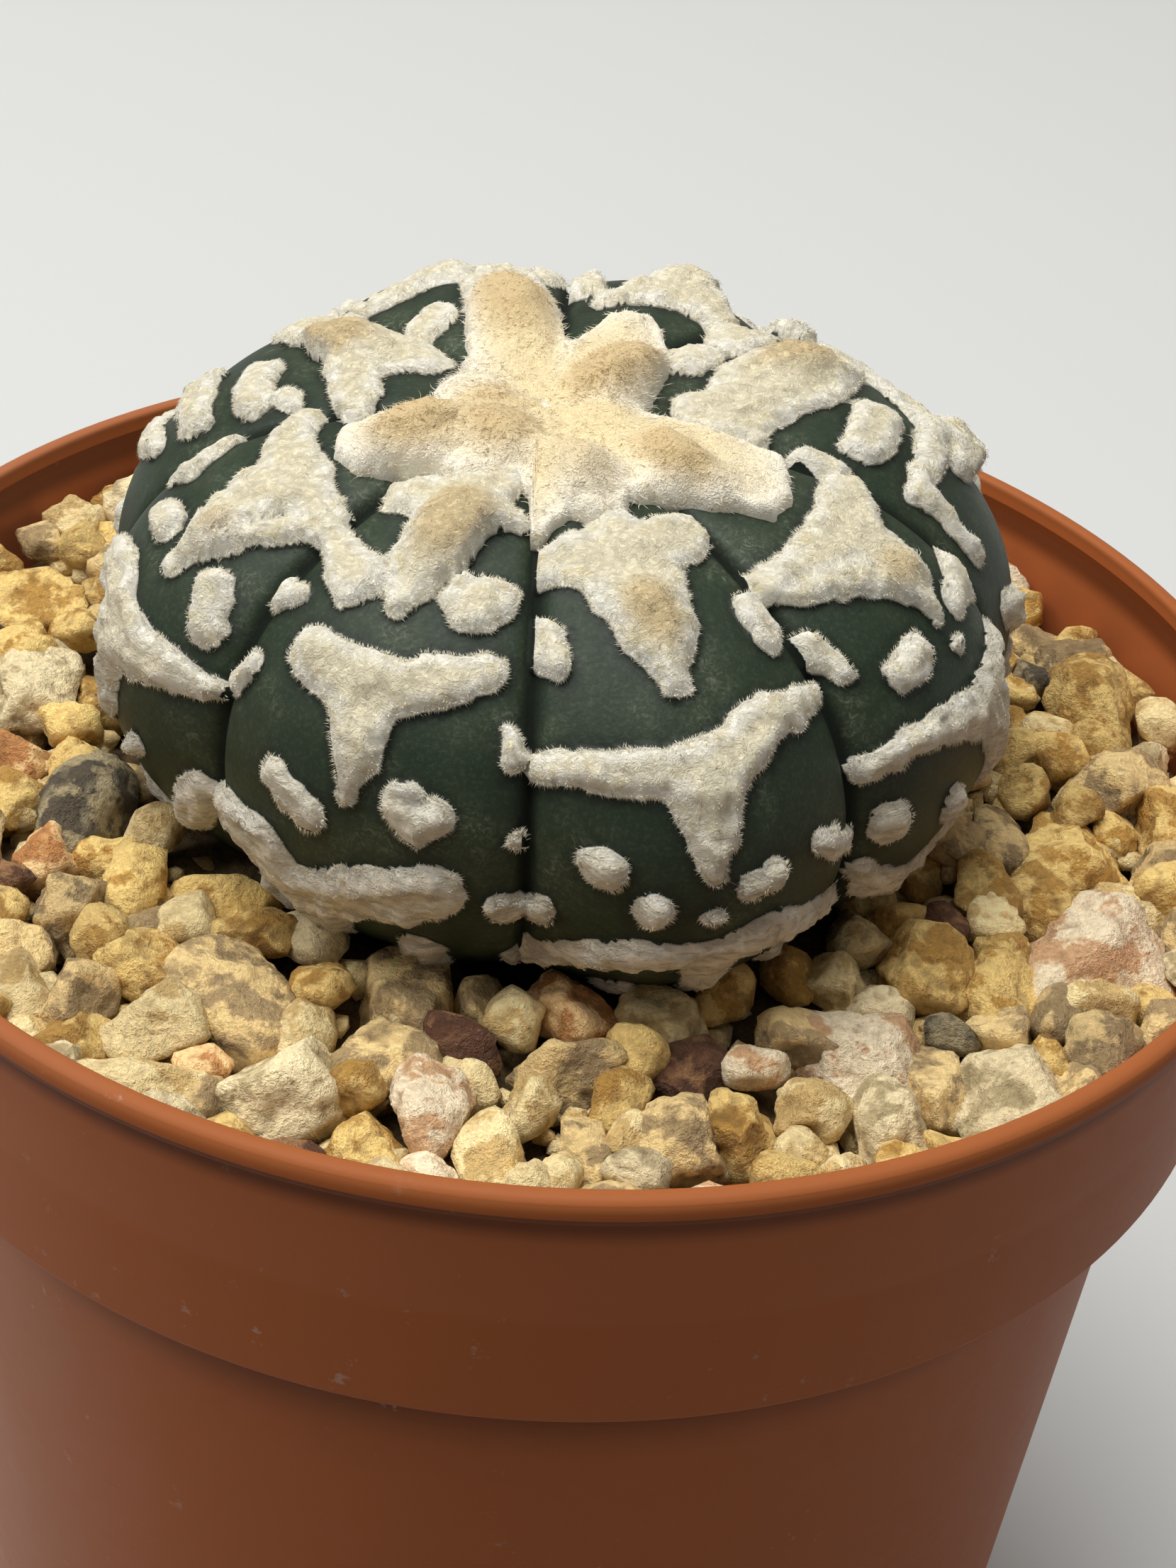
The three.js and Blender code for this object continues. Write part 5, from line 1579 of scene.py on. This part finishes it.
@dataclass
class Plant:
    """The cactus itself: ribbed skin with felt flecks, the nap on them, and the woolly crown.

    Lengths are in millimetres. Its cells are just fine enough for the flecks' ragged edges.
    """

    form: PlantForm
    cell: float = 0.28
    pole_gap: float = 0.6
    felt_from: float = 6.2
    felt_to: float = 39.5
    felt_height: float = 0.4
    pillow_height: float = 0.26
    edge_softness: float = 0.12
    fold_height: float = 0.1
    fold_width: float = 1.15
    pillow_softness: float = 0.9
    snap: float = 0.45
    snap_step: float = 0.05
    nap_hairs: int = 42000
    nap_candidates: int = 900000
    nap_radius: float = 0.02
    nap_length: tuple[float, float] = (0.1, 0.24)
    nap_root: float = 0.03
    nap_step: float = 0.08
    zones: tuple[HairZone, ...] = (
        HairZone("felt_fringe", -0.16, 0.0, outward=0.9, drift=0.45, fine=0.75),
        HairZone("felt_nap", -9.0, -0.06, outward=0.15, drift=0.9, fine=1.0),
    )
    crown_columns: int = 440
    crown_rows: int = 64
    crown_height: float = 0.75
    crown_softness: float = 0.28
    crown_seat: float = 0.35
    crown_underside: tuple[float, ...] = (0.7, 0.4, 0.06)
    crown_hairs: int = 9000
    areole_hairs: int = 170
    hair_length: tuple[float, float] = (0.25, 0.6)
    hair_radius: tuple[float, float] = (0.014, 0.026)
    hair_root: float = 0.06
    seed: int = 5
    skin_finish: CactusSkin = CactusSkin()
    hair_finish: PlantWool = PlantWool("plant_hair")
    cushion_finish: PlantWool = PlantWool("matted_crown_wool", "#fffaec", "#ecd49a", relief=0.8)
    crown_hair_finish: PlantWool = PlantWool("crown_wool_hair", "#fffaec", "#ecd49a")

    def felt_rise(self, azimuth: Array, down: Array, edge: Array) -> tuple[Array, Array]:
        """How high the felt stands over the skin, and its share of tan wool.

        Inside the edge it rises as height * (1 - e^(distance / softness)), with clumps from
        three sizes of noise, folds that run along the arms, deeper where the felt is old, and
        the areoles' tufts on top.

        Args:
            azimuth: directions round the crown.
            down: distances from the crown.
            edge: distances to the felt's edge, negative inside.

        Returns:
            Heights in millimetres, and tan shares from 0 to 1.
        """
        rib, aside, to_groove = self.form.on_rib(azimuth, down)
        base = self.form.point(azimuth, down, 0.0)
        inside = 1 - np.exp(np.minimum(edge, 0) / self.edge_softness)
        pillow = 1 - np.exp(np.minimum(edge, 0) / self.pillow_softness)
        clumps = 0.2 * fractal_noise(base, 1.2, 2, 31) + 0.13 * value_noise(base, 0.5, 33)
        tuft, tan = self.form.areole_tufts(rib, aside, down)
        age = 0.3 + 0.7 * np.clip((down - 20) / 8, 0, 1)
        wave = np.sin(FULL_TURN * edge / self.fold_width + 3 * value_noise(base, 1.8, 35))
        folds = self.fold_height * age * wave
        rise = inside * (self.felt_height + clumps + folds + tuft) + self.pillow_height * pillow
        crease = self.form.crease_depth * np.exp(-((to_groove / self.form.crease_width) ** 2))
        return rise - crease * (1 - inside), tan * inside

    def grid(self) -> tuple[Array, Array]:
        """The skin's grid: even across each rib, finest where felt is.

        Returns:
            Directions of its columns, and distances down of its rows.
        """
        columns = []
        for number, rib in enumerate(RIBS):
            low, high = self.form.bounds[number], self.form.bounds[number + 1]
            count = max(round((high - low) * self.form.girth * (1 + rib.swell) / self.cell), 8)
            columns.append(self.form.start + low + (high - low) * np.arange(count) / count)
        rows = np.concatenate([
            np.linspace(self.pole_gap, self.felt_from, 12)[:-1],
            np.arange(self.felt_from, self.felt_to, self.cell),
            np.linspace(self.felt_to, self.form.length - self.pole_gap, 20),
        ])
        return np.concatenate(columns), rows

    def snapped(self, azimuth: Array, down: Array, width: Array) -> tuple[Array, Array, Array]:
        """Moves grid points near the felt's edge along its slope onto it, so that it reads crisp.

        Args:
            azimuth: directions round the crown.
            down: distances from the crown.
            width: how wide the cells are there.

        Returns:
            New directions, new distances down, and felt distances.
        """
        edge = self.form.felt_edge(azimuth, down)
        reach = np.interp(down, self.form.down, self.form.reach)
        slopes = self.form.edge_slope(azimuth, down, edge, self.snap_step)
        slope_round, slope_down = (slope / self.snap_step for slope in slopes)
        steep = np.maximum(slope_round**2 + slope_down**2, 0.3)
        move_round, move_down = -edge * slope_round / steep, -edge * slope_down / steep
        _, across = self.form.rib_at(azimuth)
        free = (np.abs(move_round) < self.snap * width) & (np.abs(move_down) < self.snap * self.cell)
        free &= (np.abs(across) < 0.985) & (down > self.felt_from) & (down < self.felt_to)
        azimuth = azimuth + np.where(free, move_round / reach, 0)
        return azimuth, down + np.where(free, move_down, 0), np.where(free, 0.0, edge)

    def skin(self) -> bpy.types.Object:
        """The whole skin as one closed grid, pinched to a point at the crown and at the base.

        Each point stands out of the ribbed form by the felt's height.

        Returns:
            The new piece.
        """
        columns, rows = self.grid()
        down, azimuth = (flat.ravel() for flat in np.meshgrid(rows, columns, indexing="ij"))
        width = np.interp(down, self.form.down, self.form.reach) * (FULL_TURN / len(columns))
        azimuth, down, edge = self.snapped(azimuth, down, width)
        rise, tan = self.felt_rise(azimuth, down, edge)
        points = self.form.point(azimuth, down, rise)
        _, _, groove = self.form.on_rib(azimuth, down)
        poles = [points[: len(columns)].mean(axis=0), points[-len(columns) :].mean(axis=0)]
        ends = np.full(2, FAR)
        return make_piece(
            "cactus_skin", np.vstack([points, poles]), closed_grid(len(rows), len(columns)),
            felt=np.concatenate([edge, ends]), tan=np.concatenate([tan, ends * 0]),
            groove=np.concatenate([groove, ends]), down=np.concatenate([down, ends]),
        )

    def scatter(self, random: np.random.Generator) -> tuple[Array, Array, Array]:
        """Even random places over the felt's zone of the skin.

        Args:
            random: the seeded generator.

        Returns:
            Directions, distances down and felt distances.
        """
        fine = np.linspace(self.felt_from - 1, self.felt_to, 4000)
        share = np.cumsum(np.interp(fine, self.form.down, self.form.reach))
        azimuth = random.uniform(0, FULL_TURN, self.nap_candidates)
        down = np.interp(random.uniform(share[0], share[-1], self.nap_candidates), share, fine)
        return azimuth, down, self.form.felt_edge(azimuth, down)

    def nap(
        self, zone: HairZone, azimuth: Array, down: Array, edge: Array, random: np.random.Generator
    ) -> bpy.types.Object:
        """Fine hairs on the felt: each leans out over the edge and in a direction of its own.

        A hair points along outward * (slope of the felt distance) + normal + a random tangent.

        Args:
            zone: their kind.
            azimuth: directions of the roots.
            down: distances of the roots from the crown.
            edge: their felt distances.
            random: the seeded generator.

        Returns:
            The new piece.
        """
        count = len(down)
        slope = unit(np.stack(self.form.edge_slope(azimuth, down, edge, self.nap_step), axis=1))
        round_way, down_way, normal = self.form.axes(azimuth, down)
        base = self.form.point(azimuth, down, 0.0)
        turn = layered_noise(base, (FULL_TURN, 0.9, 51), (1.4, 0.35, 52)) + random.normal(0, 0.5, count)
        along = zone.outward * slope[:, 0] + zone.drift * np.cos(turn)
        low = zone.outward * slope[:, 1] + zone.drift * np.sin(turn)
        lean = random.uniform(0.02, 0.3, count)
        way = unit(along[:, None] * round_way + low[:, None] * down_way + lean[:, None] * normal)
        rise, tan = self.felt_rise(azimuth, down, edge)
        roots = self.form.point(azimuth, down, np.maximum(rise - self.nap_root, 0.02))
        length = random.uniform(*self.nap_length, count) * (1 + 0.8 * np.clip(value_noise(base, 0.8, 53), 0, 1))
        radius = random.uniform(0.7, 1.2, count) * zone.fine * self.nap_radius
        points, faces = needles((roots, roots + way * length[:, None]), radius)
        deep = 0.5 * np.clip((-edge - 0.35) / 0.85, 0, 1)
        pale = random.uniform(0, 0.5, count) ** 1.5
        tone = np.clip(np.maximum(pale, deep + random.normal(0, 0.1, count)), 0, 1)
        corners = len(points) // count
        layers = {"tan": np.repeat(tan * 0.9, corners), "tone": np.repeat(tone, corners)}
        return make_piece(zone.name, points, [faces], **layers)

    def crown_surface(self, azimuth: Array, share: Array) -> tuple[Array, Array, Array, Array]:
        """The crown wool's top: height over the skin along each direction.

        It rises as thickness * (1 - e^(distance to the edge / softness)), with its tufts and
        clumps of noise added, and dips under the skin at its ragged edge.

        Args:
            azimuth: directions round the crown.
            share: how far towards the wool's edge, from 0 to 1.

        Returns:
            Distances down from the crown, heights, tan shares, and tones, yellower inward.
        """
        reach = self.form.wool_edge(azimuth)
        reach = reach + 1.3 * self.form.ragged(azimuth, reach)
        down = share * reach
        base = self.form.point(azimuth, down, 0.0)
        body = 1 - np.exp((down - reach) / self.crown_softness)
        tuft, tan = self.form.crown_tufts(azimuth, down)
        clumps = layered_noise(base, (0.22, 1.7, 41), (0.16, 0.8, 42), (0.08, 0.35, 43))
        height = body * (self.crown_height + tuft + clumps) - self.crown_seat * (1 - body)
        return down, height, tan * body, 0.85 * (1 - np.exp((down - reach) / 1.9))

    def crown(self) -> bpy.types.Object:
        """The crown wool as a closed cushion: its lobed top, and an underside just in the skin.

        Returns:
            The new piece.
        """
        around = turns(self.crown_columns)
        shares = 1 - (1 - np.linspace(0.03, 1, self.crown_rows)) ** 1.25
        share, azimuth = (flat.ravel() for flat in np.meshgrid(shares, around, indexing="ij"))
        down, height, tan, tone = self.crown_surface(azimuth, share)
        top = self.form.point(azimuth, down, height)
        edge = self.form.wool_edge(around)
        below = [self.form.point(around, value * edge, -self.crown_seat) for value in self.crown_underside]
        poles = [top[: self.crown_columns].mean(axis=0), below[-1].mean(axis=0)]
        rest = np.zeros(len(below) * self.crown_columns + len(poles))
        return make_piece(
            "crown_wool_cushion", np.vstack([top, *below, poles]),
            closed_grid(self.crown_rows + len(below), self.crown_columns),
            tan=np.concatenate([tan, rest]), tone=np.concatenate([tone, rest]),
        )

    def tuft_roots(self, random: np.random.Generator) -> tuple[Array, ...]:
        """Random roots on the crown wool and on the areoles' tufts.

        Args:
            random: the seeded generator.

        Returns:
            Directions, distances down, heights, tan shares and tones.
        """
        azimuth = random.uniform(0, FULL_TURN, self.crown_hairs)
        share = np.sqrt(random.uniform(0, 1, self.crown_hairs)) * 0.99
        parts = [(azimuth, *self.crown_surface(azimuth, share))]
        for rib, across, low, wide, long, *_ in AREOLES:
            aside = across + random.normal(0, 0.55 * wide, self.areole_hairs)
            under = low + random.normal(0, 0.55 * long, self.areole_hairs)
            number = np.full(self.areole_hairs, rib)
            share = np.clip(aside / self.form.half_width(number, under), -0.95, 0.95)
            spot = self.form.azimuth_of(number, share)
            edge = self.form.felt_edge(spot, under)
            rise, tint = self.felt_rise(spot, under, edge)
            keep = edge < -0.1
            parts.append((spot[keep], under[keep], rise[keep], tint[keep], np.zeros(keep.sum())))
        return tuple(np.concatenate(part) for part in zip(*parts))

    def tuft_hair(self, random: np.random.Generator) -> bpy.types.Object:
        """Longer bent hairs on the crown wool and on the areoles' tufts.

        A hair runs half its length along a random tangent + normal, and then bends down the rib.

        Args:
            random: the seeded generator.

        Returns:
            The new piece.
        """
        azimuth, down, height, tan, tone = self.tuft_roots(random)
        round_way, down_way, normal = self.form.axes(azimuth, np.maximum(down, 0.4))
        count = len(down)
        turn = random.uniform(0, FULL_TURN, count)
        aside, low = np.cos(turn)[:, None] * round_way, np.sin(turn)[:, None] * down_way
        length = random.uniform(*self.hair_length, count)[:, None]
        roots = self.form.point(azimuth, down, np.maximum(height - self.hair_root, -0.1))
        knees = roots + length * 0.5 * unit(aside + low + random.uniform(0.05, 0.45, count)[:, None] * normal)
        bend = turn + random.uniform(-1.3, 1.3, count)
        tips = knees + length * 0.6 * unit(
            np.cos(bend)[:, None] * round_way + (np.sin(bend) + 0.25)[:, None] * down_way
            + random.uniform(-0.45, 0.35, count)[:, None] * normal)
        points, faces = needles((roots, knees, tips), random.uniform(*self.hair_radius, count))
        tone = np.clip(0.8 * tone + random.normal(0, 0.15, count), 0, 1)
        corners = len(points) // count
        layers = {"tan": np.repeat(tan, corners), "tone": np.repeat(tone, corners)}
        return make_piece("crown_hair", points, [faces], **layers)

    def build(self) -> list[bpy.types.Object]:
        """Makes skin, nap, crown wool and its hair, and dresses them.

        Returns:
            The new pieces.
        """
        random = np.random.default_rng(self.seed)
        made = [dress(self.skin(), self.skin_finish.material(), "cactus_skin", "cactus_body")]
        hair = self.hair_finish.material()
        azimuth, down, edge = self.scatter(random)
        for zone in self.zones:
            chosen = np.flatnonzero((edge > zone.low) & (edge < zone.high))
            chosen = random.permutation(chosen)[: self.nap_hairs]
            piece = self.nap(zone, azimuth[chosen], down[chosen], edge[chosen], random)
            made.append(dress(piece, hair, "cactus_wool"))
        made.append(dress(self.crown(), self.cushion_finish.material(), "cactus_wool", "crown_wool"))
        made.append(dress(self.tuft_hair(random), self.crown_hair_finish.material(), "cactus_wool"))
        return made


@dataclass
class Studio:
    """Floor, backdrop, lights and camera. Lengths are in metres."""

    floor_radius: float = 2.5
    floor_tone: str = "#cdcdca"
    floor_glow: str = "#fffffc"
    glow_from: float = 0.4
    glow_to: float = 1.0
    glow: float = 0.5
    backdrop_tone: str = "#dededb"
    sides: int = 96
    overhead_place: tuple[float, float, float] = (-0.15, 0.12, 1.0)
    overhead_size: float = 0.6
    overhead_power: float = 9.7
    key_place: tuple[float, float, float] = (-0.5, -0.12, 0.6)
    key_size: float = 0.28
    key_power: float = 2.0
    sky: float = 0.22
    sky_tone: Colour = (1.0, 0.99, 0.97, 1.0)
    target: tuple[float, float, float] = (0.0, 0.0, 0.055)
    camera_place: tuple[float, float, float] = (0.0, -0.11654, 0.14373)
    camera_right: tuple[float, float, float] = (0.99603396, 0.03849984, 0.08021289)
    camera_up: tuple[float, float, float] = (-0.08779837, 0.57136017, 0.81598958)
    camera_forward: tuple[float, float, float] = (0.01441498, 0.8197959, -0.57247436)
    lens: float = 62.29
    sensor: float = 36.0
    nearest: float = 0.005

    def floor_ring(self) -> Array:
        """The floor's edge as points, in millimetres like every mesh."""
        turn = turns(self.sides)
        return np.stack([np.cos(turn), np.sin(turn), np.zeros(self.sides)], axis=1) * self.floor_radius / MM

    def floor(self) -> bpy.types.Object:
        """A plain pale disc to stand on.

        Returns:
            The disc.
        """
        disc = make_piece("floor", self.floor_ring(), [np.arange(self.sides)[None]])
        material, add = new_material("matte_white_board")
        # past the lamps' reach the board glows a little, so that it stays pale up to the backdrop
        away = add("VectorMath", add("TexCoord", output="Object"), operation="LENGTH")
        ends = (self.glow_from, self.glow_to, 0.0, self.glow)
        glow = add("MapRange", away, *ends, interpolation_type="SMOOTHSTEP")
        add("OutputMaterial", add("BsdfPrincipled", named={
            "Base Color": linear(self.floor_tone), "Roughness": 0.9,
            "Emission Color": linear(self.floor_glow), "Emission Strength": glow}))
        disc.data.materials.append(material)
        disc.visible_diffuse = False
        return disc

    def backdrop(self) -> bpy.types.Object:
        """A pale upright screen round the floor, which gives no light and no shadow.

        Returns:
            The screen.
        """
        ring = self.floor_ring()
        points = np.vstack([ring, ring + [0, 0, self.floor_radius / MM]])
        wall = make_piece("backdrop", points, [grid_faces(2, self.sides)])
        material, add = new_material("pale_paper_screen")
        add("OutputMaterial", add("Emission", linear(self.backdrop_tone)))
        wall.data.materials.append(material)
        wall.visible_diffuse = wall.visible_glossy = wall.visible_shadow = False
        return wall

    def light(self, name: str, place: tuple[float, float, float], size: float, power: float) -> None:
        """A square soft box, aimed at the object.

        Args:
            name: the light's name.
            place: where it hangs.
            size: its side.
            power: its power in watts.
        """
        lamp = bpy.data.lights.new(name, "AREA")
        lamp.energy, lamp.size = power, size
        stand = bpy.data.objects.new(name, lamp)
        aim = Vector(self.target) - Vector(place)
        stand.matrix_world = Matrix.Translation(place) @ aim.to_track_quat("-Z", "Y").to_matrix().to_4x4()
        bpy.context.scene.collection.objects.link(stand)

    def camera(self) -> None:
        """The camera at the photograph's angle, turned by its three axes."""
        lens = bpy.data.cameras.new("camera")
        lens.lens, lens.sensor_width, lens.sensor_fit = self.lens, self.sensor, "AUTO"
        lens.clip_start = self.nearest
        camera = bpy.data.objects.new("camera", lens)
        backward = tuple(-v for v in self.camera_forward)
        axes = Matrix((self.camera_right, self.camera_up, backward)).transposed()
        camera.matrix_world = Matrix.Translation(self.camera_place) @ axes.to_4x4()
        bpy.context.scene.collection.objects.link(camera)
        bpy.context.scene.camera = camera

    def build(self) -> None:
        """Sets up floor, backdrop, soft boxes, sky light and camera."""
        self.floor()
        self.backdrop()
        self.light("overhead_light", self.overhead_place, self.overhead_size, self.overhead_power)
        self.light("key_light", self.key_place, self.key_size, self.key_power)
        world = bpy.data.worlds.new("studio_sky")
        world.use_nodes = True
        world.node_tree.nodes["Background"].inputs[0].default_value = self.sky_tone
        world.node_tree.nodes["Background"].inputs[1].default_value = self.sky
        bpy.context.scene.world = world
        bpy.context.scene.view_settings.view_transform = "Standard"
        self.camera()


def main() -> None:
    """Builds studio, pot, filling, grit and plant, and reports each piece."""
    logging.basicConfig(level=logging.INFO, format="%(message)s")
    Studio().build()
    form = PlantForm()
    for assembly in (Pot(), Filling(), Grit(form), Plant(form)):
        for piece in assembly.build():
            log.info("%s: %s has %d faces", type(assembly).__name__, piece.name, len(piece.data.polygons))


if __name__ == "__main__":
    main()
